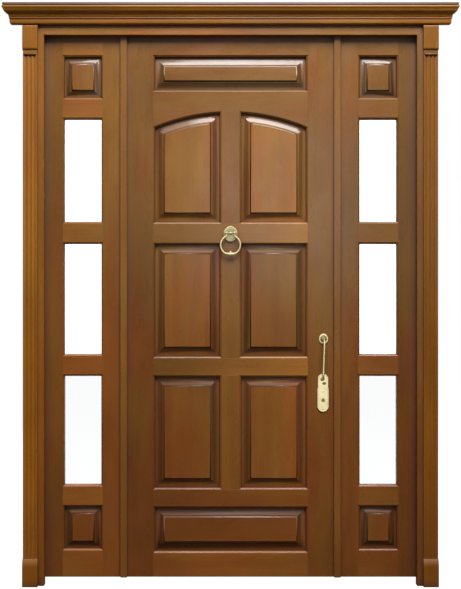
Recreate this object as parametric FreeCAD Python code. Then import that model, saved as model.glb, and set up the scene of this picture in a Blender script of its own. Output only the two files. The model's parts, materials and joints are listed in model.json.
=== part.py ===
"""Panelled entrance door between two glazed sidelights, in a rebated frame
with fluted casings and a moulded crown.

The part is drawn about its centre line, x = 0, with the face of the jambs at
y = 0 and the floor at z = 0. The front looks along -Y. On saving it is moved
so that the origin lies on the left jamb's outer face, at the floor.
"""
import FreeCAD
import Part
import math
import os

from FreeCAD import Vector

# Frame
LIP_WIDTH = 48.0            # face of the jambs and the head
LIP_DEPTH = 37.0            # depth of that face in front of the sashes
REBATE = 13.0               # how far the lip covers a sash
FLOOR_GAP = 28.0            # the leaf and the sashes stop above the floor
SWING_GAP = 5.0             # air between the leaf and its frame
LATCH_GAP = 5.2             # the same at the latch side

# Mullions between the leaf and the sidelights
MULLION_WEB = 13.0
NOSE_WIDTH = 26.0           # strip that stops the leaf, seen from the front
NOSE_DEPTH = 8.0

# Leaf and sashes: stiles and rails with moulded edges
LEAF_WIDTH = 850.0
LEAF_THICKNESS = 44.0
LATCH_BEVEL = 2.0           # the latch edge leans so that it clears in the swing
STICKING_WIDTH = 7.0        # also the radius of its ovolo
STICKING_QUIRK = 1.5
GROOVE_WIDTH = 10.0
GROOVE_DEPTH = 11.0
LEAF_STILE = 113.0
MUNTIN = 73.0
MOULDING_FLATS = 2          # flats that draw each small round of a moulding
BAR_SIDES = 8               # flats round a slender bar
TOUCHING = 1e-6             # points nearer than this are the same point

# Heights in the leaf, from its foot up; the upper panels take the height that is left
LEAF_HEIGHT = 2186.0
BOTTOM_RAIL = 96.0
BOTTOM_PANEL = 188.0
LOCK_RAIL = 68.0
LOWER_PANEL = 460.0
MIDDLE_RAIL = 70.0
MIDDLE_PANEL = 465.0
KNOCKER_RAIL = 77.0
ARCHED_RAIL = 79.0          # over the crown of the arch
TOP_PANEL = 147.0
TOP_RAIL = 82.0
ARCH_RADIUS = 798.0

# Widths and heights in a sidelight; the upper pane takes the height that is left
SASH_OPENING = 162.0
SASH_INNER_STILE = 72.0
SASH_OUTER_STILE = 83.0
SASH_BOTTOM_RAIL = 106.0
SASH_LOW_PANEL = 183.5
SASH_LOW_RAIL = 74.5
SASH_LOW_PANE = 452.0
SASH_MIDDLE_RAIL = 75.0
SASH_MIDDLE_PANE = 458.0
SASH_UPPER_RAIL = 77.0
SASH_TOP_RAIL = 87.0
SASH_TOP_PANEL = 178.0
SASH_HIGH_RAIL = 74.0

# Raised panels
TONGUE_CLEARANCE = 0.3      # each side of the tongue
TONGUE_SHORT = 1.0          # the tongue stops short of the groove's bottom
TONGUE_FLAT = 2.0           # flat beside the sticking
COVE_WIDTH = 27.0
SASH_COVE_WIDTH = 20.0
COVE_RISE = 6.8
COVE_SAG = 1.7
SHELF_WIDTH = 5.0
STEP_WIDTH = 6.5
STEP_RISE = 7.0

# Glazing
GLASS_THICKNESS = 6.0
GLASS_EDGE_GAP = 1.0
BEAD_DEPTH = 16.0
BEAD_SPLAY = 5.0
BEAD_JOINT = 0.3

# Casings
CASING_WIDTH = 57.5
CASING_THICKNESS = 10.0
CASING_LAP = 23.5           # over the jamb
PLINTH_HEIGHT = 111.0
PLINTH_PROUD = 9.0          # how far a block stands out from the casing
PLINTH_ROUND = 31.0         # height over which its top edge rounds back
CAPITAL_HEIGHT = 101.0
CAPITAL_PROUD = 7.0
CAPITAL_ROUND = 9.0
BLOCK_OVERHANG = 1.5        # the blocks are wider than the shaft, each side
FLUTE_COUNT = 3
FLUTE_PITCH = 16.0
FLUTE_WIDTH = 11.0
FLUTE_DEPTH = 3.5
FLUTE_STOP_LOW = 7.0        # plain wood between a flute's end and the plinth
FLUTE_STOP_HIGH = 16.0      # the same below the capital
FLUTE_END_FLATS = 8
CASING_FLATS = 3            # flats that draw each round of the casings

# Crown over the head
CROWN_LAP = 10.5            # how far the crown comes down over the head
CROWN_HEIGHT = 81.5
HEADER_THICKNESS = 8.0
HEADER_OVERHANG = 38.0      # past the casing, each side
CAP_THICKNESS = 9.5
CAP_OVERHANG = 38.0
CAP_ROUND = 3.0
CAP_QUIRK = 1.5             # plain strip under the cap
FRIEZE_PROJECTION = 13.0
FRIEZE_HEIGHT = 18.5
FRIEZE_ROUND_DEPTH = 5.0    # how far the frieze's foot rounds back
FRIEZE_ROUND_HEIGHT = 8.0
QUIRK_DEPTH = 1.5
QUIRK_HEIGHT = 1.5
LOWER_BEAD_HEIGHT = 9.0
LOWER_BEAD_PROUD = 3.0
OGEE_FOOT = 16.0
OGEE_RISE = 29.0
OGEE_TOP = 36.0
UPPER_BEAD_HEIGHT = 12.5
UPPER_BEAD_PROUD = 4.0
CROWN_FLATS = 4             # flats that draw each round of the crown

# Hinges
HINGE_LENGTH = 102.0
HINGE_FROM_ENDS = 180.0     # from the leaf's ends to the outer hinges
PLATE_THICKNESS = 2.5
PLATE_INSET = 4.0           # from the leaf's front to the plate's edge
KNUCKLE_RADIUS = 7.0
KNUCKLE_SETBACK = 1.5       # between the knuckle and the leaf's back
KNUCKLE_COUNT = 3
KNUCKLE_GAP = 0.5
PIN_RADIUS = 3.0
PIN_CLEARANCE = 0.06

# Door knocker
KNOCKER_FROM_RAIL = 35.0    # from the knocker rail's foot up to the rose's middle
ROSE_HALF_WIDTH = 29.0
ROSE_HALF_HEIGHT = 33.0
ROSE_THICKNESS = 9.0
ROSE_RIM = 4.5
ROSE_DISH = 2.5
ROSE_SIDES = 28
KNOCKER_PIN_RISE = 4.0      # from the rose's middle up to the pin
KNOCKER_PIN_RADIUS = 2.5
KNOCKER_PIN_STANDOFF = 18.0  # from the leaf's face to the pin
EAR_THICKNESS = 5.5
EAR_RADIUS = 5.0
BARREL_LENGTH = 26.0
BARREL_SIDE_GAP = 0.5
RING_RADIUS = 39.75         # to the middle of the bar
RING_BAR_RADIUS = 3.75
RING_SIDES = 36             # straight lengths that draw the ring
RING_CENTRE_DROP = 48.5     # from the pin down to the ring's centre
RING_NECK_WIDTH = 14.0
RING_BALL_WIDTH = 42.0
RING_BALL_HEIGHT = 20.0
RING_BALL_RISE = 5.0        # from the bar's middle up to the ball's
RING_BALL_FLATS = 6
RING_BALL_SIDES = 12

# Pull handle and lock
HANDLE_BACKSET = 52.0       # from the leaf's edge in to the handle
PULL_ROSE_RISE = 297.0      # from the lock plate's foot up
PULL_ROSE_RADIUS = 20.0
PULL_ROSE_THICKNESS = 6.0
PULL_ROSE_EASE = 2.0
PULL_BOSS_RADIUS = 9.0
PULL_BOSS_RISE = 4.0
GRIP_RADIUS = 4.5
GRIP_BEND_FLATS = 5
GRIP_STANDOFF = 48.0        # from the leaf's face to the middle of the grip
GRIP_BEND = 20.0
GRIP_FOOT_RISE = 133.0      # from the lock plate's foot up
LOCK_PLATE_FOOT = 693.0     # above the floor
LOCK_PLATE_LENGTH = 158.0
LOCK_PLATE_WIDTH = 47.0
LOCK_PLATE_NECK = 40.0
LOCK_PLATE_WAIST = 96.0     # from the plate's foot up to its shoulders
PLATE_FLATS = 12            # flats that draw each round end of the plate
LOCK_PLATE_THICKNESS = 5.0
KEY_RISE = 48.0             # from the lock plate's foot up
KEY_RADIUS = 9.0
KEY_PROJECTION = 3.0
KEYWAY_WIDTH = 2.0
KEYWAY_HEIGHT = 9.0
LEVER_RISE = 118.0          # from the lock plate's foot up
LEVER_NECK_RADIUS = 9.0
LEVER_STANDOFF = 42.0       # from the leaf's back to the middle of the lever
LEVER_LENGTH = 112.0
LEVER_WIDTH = 18.0
LEVER_THICKNESS = 12.0
LEVER_EASE = 6.0            # cut off each corner of the lever
FACEPLATE_WIDTH = 22.0
FACEPLATE_LENGTH = 190.0
FACEPLATE_THICKNESS = 3.0
STRIKE_WIDTH = 28.0
STRIKE_LENGTH = 110.0
STRIKE_THICKNESS = 2.0
STRIKE_HOLE_WIDTH = 16.0
STRIKE_HOLE_HEIGHT = 32.0
STRIKE_HOLE_DEPTH = 8.0

# Places across, from the centre line out
LEAF_EDGE = LEAF_WIDTH / 2
STILE_FACE = LEAF_EDGE - LEAF_STILE
MUNTIN_FACE = MUNTIN / 2
WEB_INNER = LEAF_EDGE + SWING_GAP
WEB_OUTER = WEB_INNER + MULLION_WEB
LATCH_EDGE = WEB_INNER - LATCH_GAP
SASH_INNER_FACE = WEB_OUTER + SASH_INNER_STILE
SASH_OUTER_FACE = SASH_INNER_FACE + SASH_OPENING
SASH_OUTER_EDGE = SASH_OUTER_FACE + SASH_OUTER_STILE
BODY_WIDTH = LIP_WIDTH - REBATE
HALF_FRAME = SASH_OUTER_EDGE + BODY_WIDTH
CASING_INNER = HALF_FRAME - CASING_LAP
CASING_OUTER = CASING_INNER + CASING_WIDTH
HEADER_END = CASING_OUTER + HEADER_OVERHANG
HANDLE_X = LEAF_EDGE - HANDLE_BACKSET

# Places in depth, from the jambs' face back
SASH_FRONT = LIP_DEPTH
SASH_BACK = LIP_DEPTH + LEAF_THICKNESS
SASH_MIDDLE = LIP_DEPTH + LEAF_THICKNESS / 2
NOSE_BACK = SASH_FRONT - SWING_GAP
NOSE_FRONT = NOSE_BACK - NOSE_DEPTH
GROOVE_BOTTOM = STICKING_WIDTH - GROOVE_DEPTH

# Levels, from the floor up
LEAF_FOOT = FLOOR_GAP
BOTTOM_PANEL_FOOT = LEAF_FOOT + BOTTOM_RAIL
LOCK_RAIL_FOOT = BOTTOM_PANEL_FOOT + BOTTOM_PANEL
LOWER_PANEL_FOOT = LOCK_RAIL_FOOT + LOCK_RAIL
MIDDLE_RAIL_FOOT = LOWER_PANEL_FOOT + LOWER_PANEL
MIDDLE_PANEL_FOOT = MIDDLE_RAIL_FOOT + MIDDLE_RAIL
KNOCKER_RAIL_FOOT = MIDDLE_PANEL_FOOT + MIDDLE_PANEL
UPPER_PANEL_FOOT = KNOCKER_RAIL_FOOT + KNOCKER_RAIL
LEAF_TOP = LEAF_FOOT + LEAF_HEIGHT
TOP_RAIL_FOOT = LEAF_TOP - TOP_RAIL
TOP_PANEL_FOOT = TOP_RAIL_FOOT - TOP_PANEL
ARCH_APEX = TOP_PANEL_FOOT - ARCHED_RAIL
ARCH_CENTRE = ARCH_APEX - ARCH_RADIUS
ARCH_INNER = KNOCKER_RAIL_FOOT - ARCH_CENTRE
REBATE_TOP = LEAF_TOP + SWING_GAP
FRAME_HEIGHT = REBATE_TOP + BODY_WIDTH
LIP_FOOT = FRAME_HEIGHT - LIP_WIDTH
CROWN_FOOT = FRAME_HEIGHT - CROWN_LAP
CAPITAL_FOOT = CROWN_FOOT - CAPITAL_HEIGHT
LOCK_PLATE_TOP = LOCK_PLATE_FOOT + LOCK_PLATE_LENGTH
LOCK_PLATE_SHOULDER = LOCK_PLATE_FOOT + LOCK_PLATE_WAIST
PULL_ROSE_LEVEL = LOCK_PLATE_FOOT + PULL_ROSE_RISE
GRIP_FOOT_LEVEL = LOCK_PLATE_FOOT + GRIP_FOOT_RISE
KEY_LEVEL = LOCK_PLATE_FOOT + KEY_RISE
LEVER_LEVEL = LOCK_PLATE_FOOT + LEVER_RISE
LATCH_LEVEL = (LOCK_PLATE_FOOT + LOCK_PLATE_TOP) / 2

# Hinge axis
HINGE_X = -WEB_INNER + SWING_GAP / 2
HINGE_Y = SASH_BACK + KNUCKLE_SETBACK + KNUCKLE_RADIUS
HINGE_LEVELS = (
    LEAF_FOOT + HINGE_FROM_ENDS,
    (LEAF_FOOT + LEAF_TOP) / 2,
    LEAF_TOP - HINGE_FROM_ENDS,
)

PARTS = {}


def save(name, *solids):
    """Move solids from the centre line to the part's origin and keep them."""
    shape = solids[0] if len(solids) == 1 else Part.makeCompound(list(solids))
    shape = shape.copy()
    shape.translate(Vector(HALF_FRAME, 0, 0))
    PARTS[name] = shape


# Plain forms

def block(x_range, y_range, z_range):
    """Box between two limits along each axis."""
    corner = Vector(min(x_range), min(y_range), min(z_range))
    size = [abs(limits[1] - limits[0]) for limits in (x_range, y_range, z_range)]
    return Part.makeBox(size[0], size[1], size[2], corner)


def rod(radius, start, end):
    """Round bar between two points."""
    axis = end - start
    return Part.makeCylinder(radius, axis.Length, start, axis)


def mirrored(shape):
    """The same shape on the other side of the centre line."""
    return shape.mirror(Vector(0, 0, 0), Vector(1, 0, 0))


def cut_in_turn(body, tools):
    """The body less each tool, one after the other."""
    for tool in tools:
        body = body.cut(tool)
    return body


def merged(first, *others):
    """One solid from pieces that overlap."""
    return first.fuse(list(others)).removeSplitter()


# Outlines made of straight and round stretches

def flattened(points, flats=MOULDING_FLATS):
    """Path whose round stretches become flats of equal length.

    A point is a pair of numbers. A round stretch is a pair of points, the
    middle and the end of an arc that starts at the point before.
    """
    path = [points[0]]
    for step in points[1:]:
        if isinstance(step[0], tuple):
            arc = Part.Arc(*[Vector(*point) for point in (path[-1], *step)]).toShape()
            path += [(spot.x, spot.y) for spot in arc.discretize(flats + 1)[1:]]
        else:
            path.append(step)
    return path


def arc_middle(rise, depth):
    """Middle of an arc that leaves a face and falls back by depth over rise.

    Distances run from the arc's start, along the face and back from it.
    """
    radius = (rise ** 2 + depth ** 2) / (2 * depth)
    half_turn = math.asin(rise / radius) / 2
    return radius * math.sin(half_turn), radius * (1 - math.cos(half_turn))


def moved(path, change):
    """The path with every point put through a change of place."""
    return [change(*point) for point in path]


def outline(place, *paths):
    """Face inside paths that are joined and closed by straight lines."""
    corners = []
    for point in (point for path in paths for point in path):
        if not corners or math.dist(point, corners[-1]) > TOUCHING:
            corners.append(point)
    if math.dist(corners[0], corners[-1]) > TOUCHING:
        corners.append(corners[0])
    return Part.Face(Part.makePolygon([place(*point) for point in corners]))


def in_plan(level):
    """Place for a section of an upright piece: across and deep."""
    return lambda across, deep: Vector(across, deep, level)


def in_side(station):
    """Place for a section of a level piece: up and deep."""
    return lambda up, deep: Vector(station, deep, up)


def in_front(depth):
    """Place for an outline seen from the front: across and up."""
    return lambda across, up: Vector(across, depth, up)


def mirror_depth(across, deep):
    """The same point on the other face of the leaf."""
    return across, 2 * SASH_MIDDLE - deep


def ring_of_points(middle, first, second, radius, count):
    """Points at equal steps round a middle, in the plane of two directions."""
    points = []
    for index in range(count):
        angle = 2 * math.pi * (index + 0.5) / count
        points.append(middle + (first * math.cos(angle) + second * math.sin(angle)) * radius)
    return points


def bar_along(points, first, second, radius):
    """Slender bar along straight lengths, mitred where they meet."""
    section = ring_of_points(points[0], first, second, radius, BAR_SIDES)
    path = Part.Wire(Part.makePolygon(points).Edges)
    square_corners = 1
    return path.makePipeShell([Part.makePolygon(section + section[:1])], True, False, square_corners)


# Stiles and rails

def moulded_edge():
    """Edge of a stile or rail, from its front face to its back face.

    Both faces end in an ovolo below a small quirk, and the panel's groove
    runs between them. Distances run from the face's edge into the opening.
    """
    ovolo_foot = SASH_FRONT + STICKING_QUIRK + STICKING_WIDTH
    turn = math.sqrt(0.5)
    bulge = (STICKING_WIDTH * turn, ovolo_foot - STICKING_WIDTH * turn)
    lip = SASH_MIDDLE - GROOVE_WIDTH / 2
    front = flattened([
        (0.0, SASH_FRONT),
        (0.0, SASH_FRONT + STICKING_QUIRK),
        (bulge, (STICKING_WIDTH, ovolo_foot)),
        (STICKING_WIDTH, lip),
        (GROOVE_BOTTOM, lip),
    ])
    return front + moved(front, mirror_depth)[::-1]


def member_section(place, low, high, low_moulded, high_moulded):
    """Section of a stile or rail between the edges of its face."""
    high_edge = [(high, SASH_FRONT), (high, SASH_BACK)]
    if high_moulded:
        high_edge = moved(moulded_edge(), lambda out, deep: (high + out, deep))
    low_edge = [(low, SASH_FRONT), (low, SASH_BACK)]
    if low_moulded:
        low_edge = moved(moulded_edge(), lambda out, deep: (low - out, deep))
    return outline(place, high_edge, low_edge[::-1])


def tenon_limits(low, high, low_moulded, high_moulded):
    """Width of a stub tenon, which ends at the bottom of each groove."""
    return (
        low - GROOVE_BOTTOM if low_moulded else low,
        high + GROOVE_BOTTOM if high_moulded else high,
    )


def stile(x_range, z_range, left_moulded, right_moulded):
    """Upright member that runs through from end to end."""
    section = member_section(in_plan(z_range[0]), *x_range, left_moulded, right_moulded)
    return section.extrude(Vector(0, 0, z_range[1] - z_range[0]))


def tenoned(body, x_range, z_range):
    """Member with its stub tenons, as thick as the grooves they fill."""
    y_range = (SASH_MIDDLE - GROOVE_WIDTH / 2, SASH_MIDDLE + GROOVE_WIDTH / 2)
    return merged(body, block(x_range, y_range, z_range))


def rail(x_range, z_range, low_moulded, high_moulded, stiles):
    """Level member between two stiles, coped over their mouldings."""
    section = member_section(in_side(x_range[0]), *z_range, low_moulded, high_moulded)
    body = section.extrude(Vector(x_range[1] - x_range[0], 0, 0))
    reach = (x_range[0] + GROOVE_BOTTOM, x_range[1] - GROOVE_BOTTOM)
    body = tenoned(body, reach, tenon_limits(*z_range, low_moulded, high_moulded))
    return cut_in_turn(body, stiles)


def muntin(z_range, rails):
    """Upright member between two rails, coped over their mouldings."""
    x_range = (-MUNTIN_FACE, MUNTIN_FACE)
    body = stile(x_range, z_range, True, True)
    reach = (z_range[0] + GROOVE_BOTTOM, z_range[1] - GROOVE_BOTTOM)
    body = tenoned(body, tenon_limits(*x_range, True, True), reach)
    return cut_in_turn(body, rails)


# Raised panels

def raised_edge(cove_width):
    """Front half of a panel's edge, from the tongue's tip to its field.

    The tongue sits in the groove. A shallow cove rises from it to a shelf,
    and a rounded step lifts the flat field.
    """
    tongue = SASH_MIDDLE - GROOVE_WIDTH / 2 + TONGUE_CLEARANCE
    cove_start = STICKING_WIDTH + TONGUE_FLAT
    cove_end = cove_start + cove_width
    shelf = tongue - COVE_RISE
    shelf_end = cove_end + SHELF_WIDTH
    field_start = shelf_end + STEP_WIDTH
    field = shelf - STEP_RISE
    turn = math.sqrt(0.5)
    hollow = ((cove_start + cove_end) / 2, tongue - COVE_RISE / 2 + COVE_SAG)
    bulge = (field_start - STEP_WIDTH * turn, shelf - STEP_RISE * turn)
    return flattened([
        (GROOVE_BOTTOM + TONGUE_SHORT, tongue),
        (cove_start, tongue),
        (hollow, (cove_end, shelf)),
        (shelf_end, shelf),
        (bulge, (field_start, field)),
    ])


def panel_section(place, low, high, cove_width):
    """Section of a panel raised on both faces, between two members."""
    edge = raised_edge(cove_width)
    front = moved(edge, lambda out, deep: (low + out, deep))
    front += moved(edge, lambda out, deep: (high - out, deep))[::-1]
    return outline(place, front, moved(front, mirror_depth)[::-1])


def panel(x_range, z_range, cove_width):
    """Rectangular panel, where the two pairs of raised edges meet in mitres."""
    upright = panel_section(in_plan(z_range[0] + GROOVE_BOTTOM), *x_range, cove_width)
    upright = upright.extrude(Vector(0, 0, z_range[1] - z_range[0] - 2 * GROOVE_BOTTOM))
    level = panel_section(in_side(x_range[0] + GROOVE_BOTTOM), *z_range, cove_width)
    level = level.extrude(Vector(x_range[1] - x_range[0] - 2 * GROOVE_BOTTOM, 0, 0))
    return upright.common(level)


# The arch over the upper panels

def about_arch(radius, deep):
    """Place for a section that is turned about the arch's centre."""
    return Vector(0, deep, ARCH_CENTRE + radius)


def turned_about_arch(face):
    """Solid of revolution about the level axis through the arch's centre."""
    return face.revolve(Vector(0, 0, ARCH_CENTRE), Vector(0, 1, 0), 360)


def arched_rail(stiles):
    """Rail with a straight top edge and a moulded arch below."""
    x_range = (-STILE_FACE, STILE_FACE)
    arch_end = ARCH_CENTRE + math.sqrt(ARCH_RADIUS ** 2 - STILE_FACE ** 2)
    foot = arch_end - 2 * STICKING_WIDTH
    section = member_section(in_side(x_range[0]), foot, TOP_PANEL_FOOT, False, True)
    body = section.extrude(Vector(2 * STILE_FACE, 0, 0))
    tenon_top = TOP_PANEL_FOOT + GROOVE_BOTTOM
    body = tenoned(body, (x_range[0] + GROOVE_BOTTOM, x_range[1] - GROOVE_BOTTOM), (foot, tenon_top))
    edge = moved(moulded_edge(), lambda out, deep: (ARCH_RADIUS - out, deep))
    before = [(ARCH_INNER, 0.0), (ARCH_RADIUS, 0.0)]
    void = outline(about_arch, before, edge, moved(before, mirror_depth)[::-1])
    return cut_in_turn(body, [turned_about_arch(void)] + list(stiles))


def arched_panel():
    """Raised panel right of the muntin, whose top edge follows the arch."""
    z_range = (UPPER_PANEL_FOOT, TOP_RAIL_FOOT)
    straight = panel((MUNTIN_FACE, STILE_FACE), z_range, COVE_WIDTH)
    front = moved(raised_edge(COVE_WIDTH), lambda out, deep: (ARCH_RADIUS - out, deep))
    front.append((ARCH_INNER, front[-1][1]))
    rounded = outline(about_arch, front, moved(front, mirror_depth)[::-1])
    return straight.common(turned_about_arch(rounded))


# The leaf

def hinge_parts(level):
    """Two halves of a butt hinge; the frame's half carries the pin."""
    foot = level - HINGE_LENGTH / 2
    top = level + HINGE_LENGTH / 2
    plate_depth = (SASH_FRONT + PLATE_INSET, SASH_BACK)
    frame_x = (-WEB_INNER - PLATE_THICKNESS, -WEB_INNER)
    leaf_x = (-LEAF_EDGE, -LEAF_EDGE + PLATE_THICKNESS)

    def on_axis(radius, low, high):
        """Round bar on the hinge's axis."""
        return rod(radius, Vector(HINGE_X, HINGE_Y, low), Vector(HINGE_X, HINGE_Y, high))

    frame_pieces = [block(frame_x, plate_depth, (foot, top)), on_axis(PIN_RADIUS, foot, top)]
    leaf_pieces = [block(leaf_x, plate_depth, (foot, top))]
    pitch = HINGE_LENGTH / KNUCKLE_COUNT
    for index in range(KNUCKLE_COUNT):
        on_leaf = index % 2 == 1
        gap = KNUCKLE_GAP if on_leaf else 0.0
        low = foot + index * pitch + gap
        high = foot + (index + 1) * pitch - gap
        pieces = leaf_pieces if on_leaf else frame_pieces
        pieces.append(on_axis(KNUCKLE_RADIUS, low, high))
        pieces.append(block(leaf_x if on_leaf else frame_x, (SASH_BACK, HINGE_Y), (low, high)))
    bore = on_axis(PIN_RADIUS + PIN_CLEARANCE, foot, top)
    return merged(*frame_pieces), merged(*leaf_pieces).cut(bore)


def make_leaf(hinge_leaves):
    """Stiles, rails, muntins and panels of the door leaf."""
    z_range = (LEAF_FOOT, LEAF_TOP)
    hinge_stile = stile((-LEAF_EDGE, -STILE_FACE), z_range, False, True)
    latch_stile = stile((STILE_FACE, LATCH_EDGE), z_range, True, False)
    bevel = outline(in_plan(LEAF_FOOT), [
        (LATCH_EDGE - LATCH_BEVEL, SASH_FRONT),
        (LATCH_EDGE + LATCH_BEVEL, SASH_FRONT),
        (LATCH_EDGE + LATCH_BEVEL, SASH_BACK),
        (LATCH_EDGE, SASH_BACK),
    ])
    latch_stile = latch_stile.cut(bevel.extrude(Vector(0, 0, LEAF_TOP - LEAF_FOOT)))
    stiles = (hinge_stile, latch_stile)
    x_range = (-STILE_FACE, STILE_FACE)
    bottom = rail(x_range, (LEAF_FOOT, BOTTOM_PANEL_FOOT), False, True, stiles)
    lock = rail(x_range, (LOCK_RAIL_FOOT, LOWER_PANEL_FOOT), True, True, stiles)
    middle = rail(x_range, (MIDDLE_RAIL_FOOT, MIDDLE_PANEL_FOOT), True, True, stiles)
    knocker = rail(x_range, (KNOCKER_RAIL_FOOT, UPPER_PANEL_FOOT), True, True, stiles)
    top = rail(x_range, (TOP_RAIL_FOOT, LEAF_TOP), True, False, stiles)
    arched = arched_rail(stiles)
    save("door_bottom_rail", bottom)
    save("door_lock_rail", lock)
    save("door_middle_rail", middle)
    save("door_knocker_rail", knocker)
    save("door_arched_rail", arched)
    save("door_top_rail", top)
    save(
        "door_muntins",
        muntin((LOWER_PANEL_FOOT, MIDDLE_RAIL_FOOT), (lock, middle)),
        muntin((MIDDLE_PANEL_FOOT, KNOCKER_RAIL_FOOT), (middle, knocker)),
        muntin((UPPER_PANEL_FOOT, ARCH_APEX), (knocker, arched)),
    )
    half = (MUNTIN_FACE, STILE_FACE)
    lower = panel(half, (LOWER_PANEL_FOOT, MIDDLE_RAIL_FOOT), COVE_WIDTH)
    centre = panel(half, (MIDDLE_PANEL_FOOT, KNOCKER_RAIL_FOOT), COVE_WIDTH)
    upper = arched_panel()
    save("door_bottom_panel", panel(x_range, (BOTTOM_PANEL_FOOT, LOCK_RAIL_FOOT), COVE_WIDTH))
    save("door_lower_panels", mirrored(lower), lower)
    save("door_middle_panels", mirrored(centre), centre)
    save("door_upper_panels", mirrored(upper), upper)
    save("door_top_panel", panel(x_range, (TOP_PANEL_FOOT, TOP_RAIL_FOOT), COVE_WIDTH))
    save("door_hinge_stile", hinge_stile.cut(list(hinge_leaves)))
    faceplate = latch_faceplate()
    save("door_latch_stile", latch_stile.cut(faceplate))
    save("latch_faceplate", faceplate)


# Sidelights

def rebate_block(z_range):
    """Space behind the front moulding that takes a pane and its beads."""
    return block(
        (SASH_INNER_FACE + GROOVE_BOTTOM, SASH_OUTER_FACE - GROOVE_BOTTOM),
        (SASH_MIDDLE - GROOVE_WIDTH / 2, SASH_BACK),
        (z_range[0] + GROOVE_BOTTOM, z_range[1] - GROOVE_BOTTOM),
    )


def glazing_beads(z_range):
    """Four splayed beads that hold a pane against the front moulding."""
    face = SASH_MIDDLE - GROOVE_WIDTH / 2 + GLASS_THICKNESS
    back = face + BEAD_DEPTH

    def strip(edge, inward):
        """Bead section, from the rebate's wall to the sight line."""
        wall = edge + inward * GROOVE_BOTTOM
        sight = edge + inward * STICKING_WIDTH
        splayed = sight - inward * BEAD_SPLAY
        return [
            (wall, face), (sight, face), (sight, face + BEAD_SPLAY),
            (splayed, back), (wall, back),
        ]

    left = SASH_INNER_FACE + GROOVE_BOTTOM
    right = SASH_OUTER_FACE - GROOVE_BOTTOM
    low = z_range[0] + STICKING_WIDTH + BEAD_JOINT
    high = z_range[1] - STICKING_WIDTH - BEAD_JOINT
    beads = []
    for edge, inward in ((z_range[0], 1), (z_range[1], -1)):
        level = outline(in_side(left), strip(edge, inward))
        beads.append(level.extrude(Vector(right - left, 0, 0)))
    for edge, inward in ((SASH_INNER_FACE, 1), (SASH_OUTER_FACE, -1)):
        upright = outline(in_plan(low), strip(edge, inward))
        beads.append(upright.extrude(Vector(0, 0, high - low)))
    return beads


def pane(z_range):
    """Sheet of clear glass, a little smaller than its rebate."""
    front = SASH_MIDDLE - GROOVE_WIDTH / 2
    inset = GROOVE_BOTTOM + GLASS_EDGE_GAP
    return block(
        (SASH_INNER_FACE + inset, SASH_OUTER_FACE - inset),
        (front, front + GLASS_THICKNESS),
        (z_range[0] + inset, z_range[1] - inset),
    )


def make_sidelights():
    """Both glazed sashes: two panels and three panes in stiles and rails."""
    heights = (
        SASH_BOTTOM_RAIL, SASH_LOW_PANEL, SASH_LOW_RAIL, SASH_LOW_PANE,
        SASH_MIDDLE_RAIL, SASH_MIDDLE_PANE, SASH_UPPER_RAIL,
    )
    levels = [LEAF_FOOT]
    for height in heights:
        levels.append(levels[-1] + height)
    top_panel_top = REBATE_TOP - SASH_TOP_RAIL
    top_panel_foot = top_panel_top - SASH_TOP_PANEL
    high_rail_foot = top_panel_foot - SASH_HIGH_RAIL
    panes = ((levels[3], levels[4]), (levels[5], levels[6]), (levels[7], high_rail_foot))
    rebates = [rebate_block(z_range) for z_range in panes]

    z_range = (LEAF_FOOT, REBATE_TOP)
    stiles = (
        stile((WEB_OUTER, SASH_INNER_FACE), z_range, False, True),
        stile((SASH_OUTER_FACE, SASH_OUTER_EDGE), z_range, True, False),
    )
    x_range = (SASH_INNER_FACE, SASH_OUTER_FACE)
    rails = [
        rail(x_range, (levels[0], levels[1]), False, True, stiles),
        rail(x_range, (levels[2], levels[3]), True, True, stiles),
        rail(x_range, (levels[4], levels[5]), True, True, stiles),
        rail(x_range, (levels[6], levels[7]), True, True, stiles),
        rail(x_range, (high_rail_foot, top_panel_foot), True, True, stiles),
        rail(x_range, (top_panel_top, REBATE_TOP), True, False, stiles),
    ]
    pieces = {
        "stiles": [piece.cut(rebates) for piece in stiles],
        "rails": [piece.cut(rebates) for piece in rails],
        "panels": [
            panel(x_range, (levels[1], levels[2]), SASH_COVE_WIDTH),
            panel(x_range, (top_panel_foot, top_panel_top), SASH_COVE_WIDTH),
        ],
        "glass": [pane(z_range) for z_range in panes],
        "beads": [bead for z_range in panes for bead in glazing_beads(z_range)],
    }
    for kind, solids in pieces.items():
        save("right_sidelight_" + kind, *solids)
        save("left_sidelight_" + kind, *[mirrored(solid) for solid in solids])


# Frame

def frame_section(place, edge, inward):
    """Section of a jamb or the head: a wide lip before a narrower body."""
    lip = edge + inward * LIP_WIDTH
    body = edge + inward * BODY_WIDTH
    return outline(place, [
        (edge, 0.0), (lip, 0.0), (lip, SASH_FRONT),
        (body, SASH_FRONT), (body, SASH_BACK), (edge, SASH_BACK),
    ])


def mitred(shape, corners):
    """The shape cut to an outline seen from the front."""
    return shape.common(outline(in_front(0.0), corners).extrude(Vector(0, SASH_BACK, 0)))


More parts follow.
